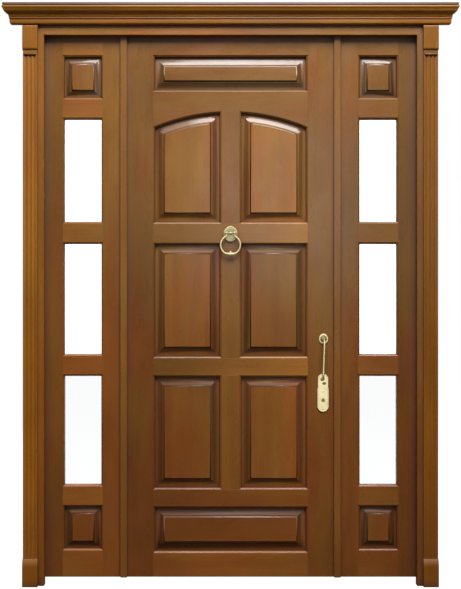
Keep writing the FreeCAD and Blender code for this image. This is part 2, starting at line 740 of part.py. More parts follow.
def make_frame(hinge_leaves, strike):
    """Jambs and head mitred at the corners, and the two mullions."""
    inner = HALF_FRAME - LIP_WIDTH
    jamb = frame_section(in_plan(0.0), HALF_FRAME, -1).extrude(Vector(0, 0, FRAME_HEIGHT))
    jamb = mitred(jamb, [
        (HALF_FRAME, 0.0), (HALF_FRAME, FRAME_HEIGHT), (inner, LIP_FOOT), (inner, 0.0),
    ])
    head = frame_section(in_side(-HALF_FRAME), FRAME_HEIGHT, -1)
    head = mitred(head.extrude(Vector(2 * HALF_FRAME, 0, 0)), [
        (-HALF_FRAME, FRAME_HEIGHT), (HALF_FRAME, FRAME_HEIGHT), (inner, LIP_FOOT), (-inner, LIP_FOOT),
    ])
    leaf_relief = block((-WEB_INNER, WEB_INNER), (NOSE_BACK, SASH_FRONT), (LIP_FOOT, REBATE_TOP))
    save("left_jamb", mirrored(jamb))
    save("right_jamb", jamb)
    save("head_jamb", head.cut(leaf_relief))

    nose = WEB_OUTER - NOSE_WIDTH
    section = outline(in_plan(LEAF_FOOT), [
        (nose, NOSE_FRONT), (WEB_OUTER, NOSE_FRONT), (WEB_OUTER, SASH_BACK),
        (WEB_INNER, SASH_BACK), (WEB_INNER, NOSE_BACK), (nose, NOSE_BACK),
    ])
    mullion = section.extrude(Vector(0, 0, REBATE_TOP - LEAF_FOOT))
    head_notch = block((nose, WEB_OUTER), (NOSE_FRONT, SASH_FRONT), (LIP_FOOT, REBATE_TOP))
    mullion = mullion.cut(head_notch)
    pocket = strike_pocket()
    save("left_mullion", mirrored(mullion).cut(list(hinge_leaves)))
    save("right_mullion", mullion.cut([strike, pocket]))
    save("strike_plate", strike.cut(pocket))


# Casings and crown

def rounded_block(height, proud, rise, round_foot):
    """Casing block whose front rounds back to the casing's face."""
    face = -CASING_THICKNESS
    front = face - proud
    along, back = arc_middle(rise, proud)
    path = [(0.0, 0.0), (height, 0.0), (height, face)]
    path.append(((height - rise + along, front + back), (height - rise, front)))
    if round_foot:
        path += [(rise, front), ((rise - along, front + back), (0.0, face))]
    else:
        path.append((0.0, front))
    section = outline(in_side(CASING_INNER - BLOCK_OVERHANG), flattened(path, CASING_FLATS))
    return section.extrude(Vector(CASING_WIDTH + 2 * BLOCK_OVERHANG, 0, 0))


def flute(x):
    """Shallow hollow down the casing's face, with round stopped ends."""
    half = FLUTE_WIDTH / 2
    foot = PLINTH_HEIGHT + FLUTE_STOP_LOW + half
    top = CAPITAL_FOOT - FLUTE_STOP_HIGH - half
    face = -CASING_THICKNESS
    hollow = outline(in_plan(foot - half), flattened([
        (x - half, face),
        ((x, face + FLUTE_DEPTH), (x + half, face)),
    ], CASING_FLATS))
    hollow = hollow.extrude(Vector(0, 0, top - foot + FLUTE_WIDTH))
    ends = outline(in_front(face), flattened([
        (x - half, top),
        ((x, top + half), (x + half, top)),
        (x + half, foot),
        ((x, foot - half), (x - half, foot)),
    ], FLUTE_END_FLATS))
    return hollow.common(ends.extrude(Vector(0, FLUTE_DEPTH, 0)))


def casing_shaft():
    """Fluted casing board between its plinth and capital blocks."""
    levels = (PLINTH_HEIGHT, CAPITAL_FOOT)
    shaft = block((CASING_INNER, CASING_OUTER), (-CASING_THICKNESS, 0.0), levels)
    middle = (CASING_INNER + CASING_OUTER) / 2
    first = middle - (FLUTE_COUNT - 1) / 2 * FLUTE_PITCH
    return cut_in_turn(shaft, [flute(first + index * FLUTE_PITCH) for index in range(FLUTE_COUNT)])


def ogee(start, end):
    """Two arcs that leave and arrive upright and meet halfway."""
    across = (end[0] - start[0]) / 2
    up = (end[1] - start[1]) / 2
    rise, side = arc_middle(up, across)
    halfway = (start[0] + across, start[1] + up)
    return [((start[0] + side, start[1] + rise), halfway), ((end[0] - side, end[1] - rise), end)]


def crown_path():
    """Crown's face from its foot to the cap: out from the board, and up."""
    along, back = arc_middle(FRIEZE_ROUND_HEIGHT, FRIEZE_ROUND_DEPTH)
    quirk = FRIEZE_PROJECTION - QUIRK_DEPTH
    quirk_top = FRIEZE_HEIGHT + QUIRK_HEIGHT
    bead_top = quirk_top + LOWER_BEAD_HEIGHT
    bead_crest = (FRIEZE_PROJECTION + LOWER_BEAD_PROUD, quirk_top + LOWER_BEAD_HEIGHT / 2)
    cap_foot = CROWN_HEIGHT - CAP_THICKNESS
    crest_top = cap_foot - CAP_QUIRK
    ogee_top = crest_top - UPPER_BEAD_HEIGHT
    ogee_foot = ogee_top - OGEE_RISE
    crest = (OGEE_TOP + UPPER_BEAD_PROUD, ogee_top + UPPER_BEAD_HEIGHT / 2)
    return flattened([
        (0.0, 0.0),
        (FRIEZE_PROJECTION - FRIEZE_ROUND_DEPTH, 0.0),
        ((FRIEZE_PROJECTION - back, FRIEZE_ROUND_HEIGHT - along), (FRIEZE_PROJECTION, FRIEZE_ROUND_HEIGHT)),
        (FRIEZE_PROJECTION, FRIEZE_HEIGHT),
        (quirk, FRIEZE_HEIGHT),
        (quirk, quirk_top),
        (FRIEZE_PROJECTION, quirk_top),
        (bead_crest, (FRIEZE_PROJECTION, bead_top)),
        (OGEE_FOOT, bead_top),
        (OGEE_FOOT, ogee_foot),
        *ogee((OGEE_FOOT, ogee_foot), (OGEE_TOP, ogee_top)),
        (crest, (OGEE_TOP, crest_top)),
        (OGEE_TOP, cap_foot),
        (0.0, cap_foot),
    ], CROWN_FLATS)


def make_crown():
    """Board over the head, with a mitred moulding and a cap on top."""
    board_face = -HEADER_THICKNESS
    reach = 2 * CAP_OVERHANG
    top = CROWN_FOOT + CROWN_HEIGHT
    board_levels = (CROWN_FOOT, top - CAP_THICKNESS)
    save("header_board", block((-HEADER_END, HEADER_END), (board_face, 0.0), board_levels))

    corner = (HEADER_END, board_face)
    far = (HEADER_END + reach, board_face - reach)
    front_profile = moved(crown_path(), lambda out, up: (CROWN_FOOT + up, board_face - out))
    front = outline(in_side(-HEADER_END - reach), front_profile)
    front = front.extrude(Vector(2 * (HEADER_END + reach), 0, 0))
    front_limits = outline(in_plan(CROWN_FOOT), [
        (-corner[0], corner[1]), corner, far, (-far[0], far[1]),
    ])
    save("crown_front", front.common(front_limits.extrude(Vector(0, 0, CROWN_HEIGHT))))

    side_profile = moved(crown_path(), lambda out, up: (HEADER_END + out, CROWN_FOOT + up))
    side = outline(in_front(board_face - reach), side_profile)
    side = side.extrude(Vector(0, reach - board_face, 0))
    side_limits = outline(in_plan(CROWN_FOOT), [corner, (corner[0], 0.0), (far[0], 0.0), far])
    right_return = side.common(side_limits.extrude(Vector(0, 0, CROWN_HEIGHT)))
    save("crown_returns", mirrored(right_return), right_return)

    edge = HEADER_END + CAP_OVERHANG
    cap = block((-edge, edge), (board_face - CAP_OVERHANG, 0.0), (top - CAP_THICKNESS, top))
    top_edges = [
        item for item in cap.Edges
        if item.BoundBox.ZMin > top - TOUCHING and item.BoundBox.YMin < -TOUCHING
    ]
    save("crown_cap", cap.makeChamfer(CAP_ROUND, top_edges))


def make_casings():
    """Fluted casing, plinth block and capital block on each side."""
    shaft = casing_shaft()
    plinth = rounded_block(PLINTH_HEIGHT, PLINTH_PROUD, PLINTH_ROUND, False)
    capital = rounded_block(CAPITAL_HEIGHT, CAPITAL_PROUD, CAPITAL_ROUND, True)
    capital.translate(Vector(0, 0, CAPITAL_FOOT))
    for name, piece in (("casing", shaft), ("plinth_block", plinth), ("capital_block", capital)):
        save("right_" + name, piece)
        save("left_" + name, mirrored(piece))


# Door knocker

def oval_disc(half_width, half_height, back, front):
    """Upright oval disc on the knocker rail between two depths."""
    level = KNOCKER_RAIL_FOOT + KNOCKER_FROM_RAIL
    corners = []
    for index in range(ROSE_SIDES):
        angle = 2 * math.pi * index / ROSE_SIDES
        corners.append((half_width * math.cos(angle), level + half_height * math.sin(angle)))
    return outline(in_front(back), corners).extrude(Vector(0, front - back, 0))


def ring_ball(middle):
    """Lens-shaped swelling at the ring's foot, pointed at both ends."""
    profile = flattened([
        (-RING_BALL_WIDTH / 2, 0.0),
        ((0.0, RING_BALL_HEIGHT / 2), (RING_BALL_WIDTH / 2, 0.0)),
    ], RING_BALL_FLATS)
    sections = [Part.Vertex(middle + Vector(profile[0][0], 0, 0))]
    for across, radius in profile[1:-1]:
        station = middle + Vector(across, 0, 0)
        corners = ring_of_points(station, Vector(0, 0, 1), Vector(0, -1, 0), radius, RING_BALL_SIDES)
        sections.append(Part.makePolygon(corners + corners[:1]))
    sections.append(Part.Vertex(middle + Vector(profile[-1][0], 0, 0)))
    return Part.makeLoft(sections, True, True)


def make_knocker():
    """Dished rose with two ears and a pin, and the ring that hangs on it."""
    rose_front = SASH_FRONT - ROSE_THICKNESS
    dish_back = rose_front + ROSE_DISH
    rose = oval_disc(ROSE_HALF_WIDTH, ROSE_HALF_HEIGHT, SASH_FRONT, rose_front)
    dish = oval_disc(ROSE_HALF_WIDTH - ROSE_RIM, ROSE_HALF_HEIGHT - ROSE_RIM, dish_back, rose_front)
    pin_y = SASH_FRONT - KNOCKER_PIN_STANDOFF
    pin_level = KNOCKER_RAIL_FOOT + KNOCKER_FROM_RAIL + KNOCKER_PIN_RISE

    def on_pin(across):
        """Point on the pin's axis."""
        return Vector(across, pin_y, pin_level)

    ear_inner = BARREL_LENGTH / 2 + BARREL_SIDE_GAP
    ear_outer = ear_inner + EAR_THICKNESS
    pieces = [rod(KNOCKER_PIN_RADIUS, on_pin(-ear_outer), on_pin(ear_outer))]
    for side in (-1, 1):
        pieces.append(rod(EAR_RADIUS, on_pin(side * ear_inner), on_pin(side * ear_outer)))
        pieces.append(block(
            (side * ear_inner, side * ear_outer),
            (pin_y, (dish_back + SASH_FRONT) / 2),
            (pin_level - EAR_RADIUS, pin_level + EAR_RADIUS),
        ))
    save("knocker_rose", merged(rose.cut(dish), *pieces))

    across = Vector(1, 0, 0)
    out = Vector(0, -1, 0)
    up = Vector(0, 0, 1)
    centre = on_pin(0.0) - up * RING_CENTRE_DROP
    top = centre + up * RING_RADIUS
    corner_radius = RING_RADIUS / math.cos(math.pi / RING_SIDES)
    corners = ring_of_points(centre, up, across, corner_radius, RING_SIDES)
    ring = bar_along([top, *corners, top], out, up, RING_BAR_RADIUS)
    barrel = rod(EAR_RADIUS, on_pin(-BARREL_LENGTH / 2), on_pin(BARREL_LENGTH / 2))
    neck = block(
        (-RING_NECK_WIDTH / 2, RING_NECK_WIDTH / 2),
        (pin_y - RING_BAR_RADIUS / 2, pin_y + RING_BAR_RADIUS / 2),
        (top.z, pin_level),
    )
    ball = ring_ball(centre - up * (RING_RADIUS - RING_BALL_RISE))
    bore = rod(KNOCKER_PIN_RADIUS + PIN_CLEARANCE, on_pin(-BARREL_LENGTH), on_pin(BARREL_LENGTH))
    save("knocker_ring", merged(ring, barrel, neck, ball).cut(bore))


# Pull handle and lock

def lock_plate_outline(depth):
    """Plate with a round foot, and a narrower neck with a round top."""
    wide = LOCK_PLATE_WIDTH / 2
    narrow = LOCK_PLATE_NECK / 2
    foot = LOCK_PLATE_FOOT + wide
    top = LOCK_PLATE_TOP - narrow
    shoulder = LOCK_PLATE_SHOULDER + (wide - narrow)
    return outline(in_front(depth), flattened([
        (HANDLE_X - wide, foot),
        ((HANDLE_X, LOCK_PLATE_FOOT), (HANDLE_X + wide, foot)),
        (HANDLE_X + wide, LOCK_PLATE_SHOULDER),
        (HANDLE_X + narrow, shoulder),
        (HANDLE_X + narrow, top),
        ((HANDLE_X, LOCK_PLATE_TOP), (HANDLE_X - narrow, top)),
        (HANDLE_X - narrow, shoulder),
        (HANDLE_X - wide, LOCK_PLATE_SHOULDER),
    ], PLATE_FLATS))


def make_grip():
    """Bar that comes out of the rose, turns down, and turns back to the plate."""
    face = SASH_FRONT - GRIP_STANDOFF
    bend = face + GRIP_BEND
    high = PULL_ROSE_LEVEL - GRIP_BEND
    low = GRIP_FOOT_LEVEL + GRIP_BEND
    along, back = arc_middle(GRIP_BEND, GRIP_BEND)
    path = flattened([
        (PULL_ROSE_LEVEL, SASH_FRONT - PULL_ROSE_THICKNESS / 2),
        (PULL_ROSE_LEVEL, bend),
        ((high + along, face + back), (high, face)),
        (low, face),
        ((low - along, face + back), (GRIP_FOOT_LEVEL, bend)),
        (GRIP_FOOT_LEVEL, SASH_FRONT - LOCK_PLATE_THICKNESS / 2),
    ], GRIP_BEND_FLATS)
    place = in_side(HANDLE_X)
    return bar_along([place(*point) for point in path], Vector(1, 0, 0), Vector(0, 0, 1), GRIP_RADIUS)


def make_pull():
    """Slender grip between an upper rose and the lock plate."""
    grip = make_grip()
    out = Vector(0, -1, 0)
    base = Vector(HANDLE_X, SASH_FRONT, PULL_ROSE_LEVEL)
    middle = base + out * (PULL_ROSE_THICKNESS / 2)
    rose = rod(PULL_ROSE_RADIUS, base, base + out * PULL_ROSE_THICKNESS)
    rose = rose.makeChamfer(PULL_ROSE_EASE, [item for item in rose.Edges if item.BoundBox.YMax < middle.y])
    boss = rod(PULL_BOSS_RADIUS, middle, base + out * (PULL_ROSE_THICKNESS + PULL_BOSS_RISE))
    save("pull_handle", merged(rose, boss, grip))

    plate = lock_plate_outline(SASH_FRONT).extrude(out * LOCK_PLATE_THICKNESS)
    key_back = Vector(HANDLE_X, SASH_FRONT, KEY_LEVEL)
    key = rod(KEY_RADIUS, key_back, key_back + out * (LOCK_PLATE_THICKNESS + KEY_PROJECTION))
    keyway = block(
        (HANDLE_X - KEYWAY_WIDTH / 2, HANDLE_X + KEYWAY_WIDTH / 2),
        (SASH_FRONT - LOCK_PLATE_THICKNESS, SASH_FRONT - LOCK_PLATE_THICKNESS - 2 * KEY_PROJECTION),
        (KEY_LEVEL - KEYWAY_HEIGHT / 2, KEY_LEVEL + KEYWAY_HEIGHT / 2),
    )
    save("lock_plate", plate.cut([key, grip]))
    save("key_cylinder", key.cut(keyway))


def lever_bar(lever_y):
    """Flat bar of the lever, with its corners cut off, from neck to tip."""
    near = HANDLE_X + LEVER_NECK_RADIUS
    tip = HANDLE_X - LEVER_LENGTH
    foot = LEVER_LEVEL - LEVER_WIDTH / 2
    top = LEVER_LEVEL + LEVER_WIDTH / 2
    return outline(in_front(lever_y - LEVER_THICKNESS / 2), [
        (tip + LEVER_EASE, foot), (near - LEVER_EASE, foot),
        (near, foot + LEVER_EASE), (near, top - LEVER_EASE),
        (near - LEVER_EASE, top), (tip + LEVER_EASE, top),
        (tip, top - LEVER_EASE), (tip, foot + LEVER_EASE),
    ]).extrude(Vector(0, LEVER_THICKNESS, 0))


def make_inside_lever():
    """Plate and fixed lever on the leaf's back."""
    plate = lock_plate_outline(SASH_BACK).extrude(Vector(0, LOCK_PLATE_THICKNESS, 0))
    save("inside_plate", plate)
    lever_y = SASH_BACK + LEVER_STANDOFF
    neck_start = Vector(HANDLE_X, SASH_BACK + LOCK_PLATE_THICKNESS, LEVER_LEVEL)
    neck = rod(LEVER_NECK_RADIUS, neck_start, Vector(HANDLE_X, lever_y, LEVER_LEVEL))
    save("inside_lever", merged(neck, lever_bar(lever_y)))


def latch_faceplate():
    """Plate let in flush with the leaning latch edge."""
    face = LATCH_EDGE - LATCH_BEVEL / 2
    plate = block(
        (face - FACEPLATE_THICKNESS, face),
        (SASH_MIDDLE - FACEPLATE_WIDTH / 2, SASH_MIDDLE + FACEPLATE_WIDTH / 2),
        (LATCH_LEVEL - FACEPLATE_LENGTH / 2, LATCH_LEVEL + FACEPLATE_LENGTH / 2),
    )
    lean = math.degrees(math.atan2(LATCH_BEVEL, LEAF_THICKNESS))
    plate.rotate(Vector(face, SASH_MIDDLE, 0), Vector(0, 0, 1), -lean)
    return plate


def strike_plate_blank():
    """Plate let in flush with the latch mullion, before its hole is cut."""
    return block(
        (WEB_INNER, WEB_INNER + STRIKE_THICKNESS),
        (SASH_MIDDLE - STRIKE_WIDTH / 2, SASH_MIDDLE + STRIKE_WIDTH / 2),
        (LATCH_LEVEL - STRIKE_LENGTH / 2, LATCH_LEVEL + STRIKE_LENGTH / 2),
    )


def strike_pocket():
    """Hole for the latch through the strike plate into the mullion."""
    return block(
        (WEB_INNER, WEB_INNER + STRIKE_HOLE_DEPTH),
        (SASH_MIDDLE - STRIKE_HOLE_WIDTH / 2, SASH_MIDDLE + STRIKE_HOLE_WIDTH / 2),
        (LATCH_LEVEL - STRIKE_HOLE_HEIGHT / 2, LATCH_LEVEL + STRIKE_HOLE_HEIGHT / 2),
    )


def main():
    """Build every piece and write one file for each."""
    hinges = [hinge_parts(level) for level in HINGE_LEVELS]
    frame_halves = [pair[0] for pair in hinges]
    leaf_halves = [pair[1] for pair in hinges]
    save("frame_hinge_leaves", *frame_halves)
    save("door_hinge_leaves", *leaf_halves)
    make_frame(frame_halves, strike_plate_blank())
    make_leaf(leaf_halves)
    make_sidelights()
    make_casings()
    make_crown()
    make_knocker()
    make_pull()
    make_inside_lever()
    os.makedirs("parts", exist_ok=True)
    for name, shape in PARTS.items():
        shape.exportStep("parts/" + name + ".step")


main()
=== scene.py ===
"""Panelled entrance door with glazed sidelights: varnished hardwood, brass
fittings and clear glass, in plain soft studio light.

All lengths are in metres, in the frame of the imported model.
"""
import json
import math

import bmesh
import bpy
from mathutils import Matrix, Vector

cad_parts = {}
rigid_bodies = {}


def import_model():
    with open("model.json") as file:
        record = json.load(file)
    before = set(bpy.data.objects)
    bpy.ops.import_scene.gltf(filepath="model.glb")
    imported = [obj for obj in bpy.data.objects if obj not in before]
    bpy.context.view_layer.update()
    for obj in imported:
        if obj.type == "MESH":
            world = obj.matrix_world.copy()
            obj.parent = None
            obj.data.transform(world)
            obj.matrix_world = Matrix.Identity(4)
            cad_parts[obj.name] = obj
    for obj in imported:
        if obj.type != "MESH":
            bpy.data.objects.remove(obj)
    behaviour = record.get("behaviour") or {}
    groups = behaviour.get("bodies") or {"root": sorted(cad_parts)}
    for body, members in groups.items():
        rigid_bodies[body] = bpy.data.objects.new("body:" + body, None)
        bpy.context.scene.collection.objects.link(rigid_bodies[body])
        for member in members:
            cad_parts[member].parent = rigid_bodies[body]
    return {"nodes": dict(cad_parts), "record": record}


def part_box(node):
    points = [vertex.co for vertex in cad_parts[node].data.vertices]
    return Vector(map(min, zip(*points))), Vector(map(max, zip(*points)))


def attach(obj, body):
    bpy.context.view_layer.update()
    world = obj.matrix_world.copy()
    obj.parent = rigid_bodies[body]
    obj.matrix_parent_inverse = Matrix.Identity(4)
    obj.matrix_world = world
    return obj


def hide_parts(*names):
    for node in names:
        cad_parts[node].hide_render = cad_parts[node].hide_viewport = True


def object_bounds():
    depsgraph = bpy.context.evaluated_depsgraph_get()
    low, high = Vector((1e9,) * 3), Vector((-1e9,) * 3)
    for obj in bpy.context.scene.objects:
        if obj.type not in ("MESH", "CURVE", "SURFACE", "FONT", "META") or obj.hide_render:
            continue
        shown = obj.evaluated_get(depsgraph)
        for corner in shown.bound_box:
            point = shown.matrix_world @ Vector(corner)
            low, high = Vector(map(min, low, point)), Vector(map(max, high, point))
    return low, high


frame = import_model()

CAD_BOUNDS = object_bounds()
NODES = frame["nodes"]
JOINTS = {joint["name"]: joint for joint in frame["record"]["behaviour"]["joints"]}
DOOR_CENTRE = (CAD_BOUNDS[0][0] + CAD_BOUNDS[1][0]) / 2
PIN_PLACE = Vector(JOINTS["knocker_pivot"]["pos_m"])
RING_DROP = 0.0485          # from the pin down to the ring's centre
HINGE_LENGTH = 0.102
HINGE_RADIUS = 0.007
PLAIN_FITTINGS = ("frame_hinge_leaves", "strike_plate", "door_hinge_leaves", "latch_faceplate")
LIT_BRASS = []

# Camera, at the photograph's viewing angle
IMAGE_HEIGHT = 589
FOCAL_PIXELS = 1125.0
SENSOR = 36.0
CAMERA_DISTANCE = 4.5
CAMERA_HEIGHT = 1.1664

# Light
KEY_PLACE = Vector((1.15, -2.8, 5.0))
KEY_TARGET = Vector((0.8, 0.0, 1.1))
KEY_SIZE = 2.3
KEY_POWER = 285.0
WINDOW_PLACE = Vector((1.15, -4.0, 1.85))
WINDOW_TARGET = Vector((0.9, 0.0, 1.5))
WINDOW_SIZE = 1.2
WINDOW_POWER = 9.0
AMBIENT = 0.008
GLOSS_BEHIND_RANGE = (-0.15, 0.15)
GLOSS_LOW = 0.34            # gloss world just over the level of the eye
GLOSS_LOW_RANGE = (-0.1, 0.2)
GLOSS_HIGH = 1.1            # and high overhead
GLOSS_HIGH_RANGE = (0.3, 0.65)
BRASS_LIGHT_PLACE = Vector((1.0, -3.0, 1.9))
BRASS_LIGHT_SIZE = 4.2
BRASS_LIGHT_POWER = 66.0
BACK_PLACES = (Vector((-2.4, 3.0, 3.6)), Vector((4.0, 3.0, 3.6)))
BACK_TARGET = Vector((0.8, 0.1, 1.2))
BACK_SIZE = 1.8
BACK_POWER = 125.0
FLOOR_REACH = 14.0
FLOOR_SHADE = 0.20
FLOOR_GLOSS_LOSS = 0.8
FLOOR_GLOW = 0.95           # close to the door; further away it is white
FLOOR_FADE = (1.2, 2.6)     # distances from the door between which it turns white

# Colours, linear
OLIVE = (0.248, 0.105, 0.0135, 1.0)
TAWNY = (0.255, 0.092, 0.0122, 1.0)
RED = (0.262, 0.077, 0.0110, 1.0)
DARK = (0.110, 0.031, 0.004, 1.0)
GOLDEN = (0.290, 0.108, 0.005, 1.0)
GOLDEN_RED = (0.300, 0.093, 0.005, 1.0)
GOLDEN_DARK = (0.130, 0.043, 0.002, 1.0)
BRASS = (0.93, 0.80, 0.44, 1.0)
BRASS_DULL = (0.30, 0.26, 0.115, 1.0)
CYLINDER = (0.62, 0.53, 0.27, 1.0)
SHADOW = (0.135, 0.112, 0.034, 1.0)
GLASS = (0.985, 0.995, 0.99, 1.0)
WHITE = (1.0, 1.0, 1.0, 1.0)
BROWN_WOOD = (OLIVE, RED, DARK)
TAWNY_WOOD = (OLIVE, TAWNY, DARK)
OLIVE_WOOD = (OLIVE, OLIVE, DARK)
GOLDEN_WOOD = (GOLDEN, GOLDEN_RED, GOLDEN_DARK)

# Surfaces
MERGE_DISTANCE = 0.00001
SMOOTH_ANGLE = math.radians(50)
# Painted shade: the wood turns darker and redder in crevices and recesses, over this reach and
# occlusion range
CREVICE_REACH = 0.045
CREVICE_RANGE = (0.25, 0.97)
CREVICE_SHADE_TINT = (0.32, 0.20, 0.12)
CREVICE_ROUGHNESS = 0.45
GRAIN_ORDER = {"Z": (0, 1, 2), "X": (2, 1, 0), "Y": (0, 2, 1)}
GRAIN_SHIFT = (1.7, 0.9, 2.3)
GROWTH_RINGS = 11.0
RING_SHARE = 0.17           # how far rings, fibres and pores darken the wood
FIBRE_SHARE = 0.26
PORE_SHARE = 0.30
CLOUD_RANGE = (0.90, 1.10)  # brightness of the wood's slow clouds
RED_BELOW = 0.3             # levels between which the wood turns from redder to more olive
OLIVE_ABOVE = 1.7
HUE_DRIFT = (0.50, -0.35)   # share of red added at these levels
ARRIS_RADIUS = 0.0012
# Painted shade on the panels' slopes, by the way each slope looks
SLOPE_ASIDE = 0.46          # brightness left on a panel's slopes that look sideways,
SLOPE_UNDER = 0.34          # downwards
SLOPE_OVER = 0.72           # and upwards
SLOPE_RANGE = (0.04, 0.20)  # lean of a face, from flat to a full slope
SLOPE_ROUGHNESS = 0.16
VARNISH_ROUGHNESS = (0.24, 0.34)
COAT_PLAIN = 0.15
COAT_PANEL_SLOPE = 0.55
COAT_OTHER_SLOPE = 0.10
COAT_ROUGHNESS = 0.12
BRASS_SHIFT = (0.7, 1.1, 0.4)
BRASS_METALLIC = 0.70
BRASS_ROUGHNESS = (0.24, 0.36)
BRASS_ARRIS_RADIUS = 0.0006
# Brass is duller in its hollows, partly tarnished and partly painted shade, and in random tarnished
# patches
HOLLOW_REACH = 0.005
HOLLOW_SHADE_AND_TARNISH = 0.7
PATCH_TARNISH = 0.18
TARNISH_ROUGHNESS = 0.22
# Painted shade on the flat field inside a rose
FIELD_EDGE = (0.85, 1.05)   # shares of a field's radius between which it ends
FIELD_SHADE = 0.85
FIELD_DEPTH = (0.013, 0.010)    # heights over the door between which it ends

# Knocker
ROSE_STATIONS = (           # share of the rose's half width, and height over the door
    (1.00, 0.0000), (1.00, 0.0028), (0.985, 0.0052), (0.950, 0.0070), (0.900, 0.0079),
    (0.840, 0.0077), (0.780, 0.0067), (0.720, 0.0059), (0.640, 0.0056), (0.45, 0.0056),
    (0.22, 0.0056), (0.0, 0.0056),
)
BAR_RADIUS = 0.00375
SWELL_RADIUS = 0.0070
SWELL_HALF_ANGLE = math.radians(38)
SWELL_POWER = 1.3
SWELL_DEPTH = 0.8           # share of the swelling that also shows from the side
ARM_FLATS = 56
TIP_PLACE = 1.5             # swell radii from the ring's outer edge
TIP_RATIO = 0.7
TIP_STATIONS = (            # radius, and height over the ring's foot
    (0.0062, 0.0), (0.0056, 0.0024), (0.0042, 0.0052), (0.0026, 0.0078), (0.0013, 0.0096),
    (0.0, 0.0102),
)
LUG_STATIONS = (            # radius, and place along the pin
    (0.0, -0.0070), (0.0034, -0.0066), (0.0050, -0.0044), (0.0058, 0.0), (0.0050, 0.0044),
    (0.0034, 0.0066), (0.0, 0.0070),
)
KNUCKLE_STATIONS = (        # radius, and place along the pin from the knuckle's middle
    (0.0, -0.0068), (0.0040, -0.0062), (0.0062, -0.0038), (0.0070, 0.0), (0.0062, 0.0038),
    (0.0040, 0.0062), (0.0, 0.0068),
)
KNUCKLE_PLACE = 0.0172      # from the knocker's middle line
PIN_RADIUS = 0.0023
PIN_OVERHANG = 0.0085       # beyond the knuckles' middles
PIN_TIP_INSET = 0.0010
PIN_TIP_STATIONS = (        # radius, and place beyond the tip's start
    (0.0023, 0.0), (0.0036, 0.0006), (0.0036, 0.0016), (0.0020, 0.0026), (0.0, 0.0028),
)
STEM_STEPS = (0.0, 0.0055, 0.0095, 0.0130)      # from the pin back to the rose
STEM_SIZES = ((0.0036, 0.0044), (0.0034, 0.0040), (0.0042, 0.0052), (0.0072, 0.0090))
DISH_DROP = 0.007
DISH_SHARE = 0.92           # of the rose's half width
ARM_ANGLE = math.radians(28)
ARM_BEND = (                # place beyond the knuckle's middle, and drop below the pin
    (0.0002, 0.0119), (-0.0006, 0.0098), (-0.0006, 0.0068), (-0.0002, 0.0015),
)

# Pull handle and lock
PULL_ROSE_STATIONS = (      # radius, and height over the door
    (0.0200, 0.0), (0.0200, 0.0022), (0.0192, 0.0040), (0.0172, 0.0052), (0.0152, 0.0054),
    (0.0136, 0.0046), (0.0126, 0.0044), (0.0116, 0.0054), (0.0104, 0.0078), (0.0086, 0.0096),
    (0.0058, 0.0102), (0.0, 0.0103),
)
FOOT_COLLAR_STATIONS = (
    (0.0086, 0.0048), (0.0086, 0.0062), (0.0078, 0.0074), (0.0066, 0.0078), (0.0060, 0.0066),
    (0.0052, 0.0066), (0.0050, 0.0078),
)
GRIP_STANDOFF = 0.048
GRIP_BEND = 0.020
GRIP_LEAN = 0.0022          # the grip's top stands right of its middle, its foot left
GRIP_RADIUS = 0.0043
GRIP_LEVELS = (0.9872, 0.826)
PULL_ROSE_RATIO = 1.1
PULL_DISH_RADIUS = 0.0138
GRIP_ENTRY = 0.006          # where the grip's ends start, over the door
GRIP_SHARES = (0.04, 0.08, 0.3, 0.5, 0.7, 0.92, 0.96)
GRIP_END_SWELL = 1.2
GRIP_MIDDLE_SWELL = 1.06
GRIP_RING_SHARES = (0.06, 0.94)
GRIP_RING_DROP = 0.002
GRIP_RING_STATIONS = (
    (0.0044, 0.0), (0.0056, 0.0008), (0.0060, 0.0020), (0.0056, 0.0032), (0.0044, 0.0040),
)
PLATE_EDGE = (              # inset of the plate's outline, and height over the door
    (0.0, 0.0), (0.0, 0.0032), (0.0006, 0.0044), (0.0020, 0.0050), (0.0042, 0.0049),
    (0.0050, 0.0044), (0.0058, 0.0044), (0.0068, 0.0049),
)
PLATE_FLATS = 28
PLATE_SHOULDER = 0.096      # from the plate's foot up
PLATE_NECK = 0.0432
PLATE_EASE = 0.4            # share of an inset by which the shoulder drops
PLATE_SCREW_RADIUS = 0.0032
PLATE_SCREW_FOOT = 0.011    # from the plate's foot up
PLATE_SCREW_DROP = 0.014    # from its shoulder down
BACK_SCREW_FOOT = 0.014
BACK_SCREW_DROP = 0.012
PLATE_TOP_MARGIN = 0.004    # of the front plate, whose head is a little flatter
SPINDLE_LEVEL = 0.8085
SPINDLE_ASIDE = 0.0045
SPINDLE_RATIO = 0.75
SPINDLE_RIM_STATIONS = (
    (0.0080, 0.0046), (0.0080, 0.0058), (0.0072, 0.0064), (0.0066, 0.0058), (0.0066, 0.0050),
)
SPINDLE_FLOOR_STATIONS = ((0.0066, 0.0048), (0.0066, 0.0053), (0.0, 0.0053))
KEY_LEVEL = 0.741
CYLINDER_FRONT = 0.0080
CYLINDER_STATIONS = (
    (0.0090, 0.0040), (0.0090, 0.0074), (0.0089, 0.0079), (0.0087, CYLINDER_FRONT),
    (0.0, CYLINDER_FRONT),
)
KEYHOLE_RADIUS = 0.0040
KEYHOLE_RISE = 0.0028       # from the cylinder's middle up to the round part's
KEYHOLE_SWEEP = (math.radians(-20), math.radians(200))
KEYHOLE_DROP = 0.0048       # and down to its flat foot
KEYHOLE_HALF_FOOT = 0.0070
INLAY_OUT = 0.0001
INLAY_IN = 0.0004
LEVER_NECK_RADIUS = 0.0088
LEVER_NECK_START = 0.0090
LEVER_HALF_DEPTH = 0.0078
LEVER_TURN = 0.012
LEVER_TURN_DEPTH = 0.0075
LEVER_TURN_POINTS = 8
LEVER_COLLAR_STATIONS = (
    (0.0150, 0.0048), (0.0150, 0.0066), (0.0138, 0.0078), (0.0108, 0.0082), (0.0100, 0.0096),
    (0.0088, 0.0110),
)
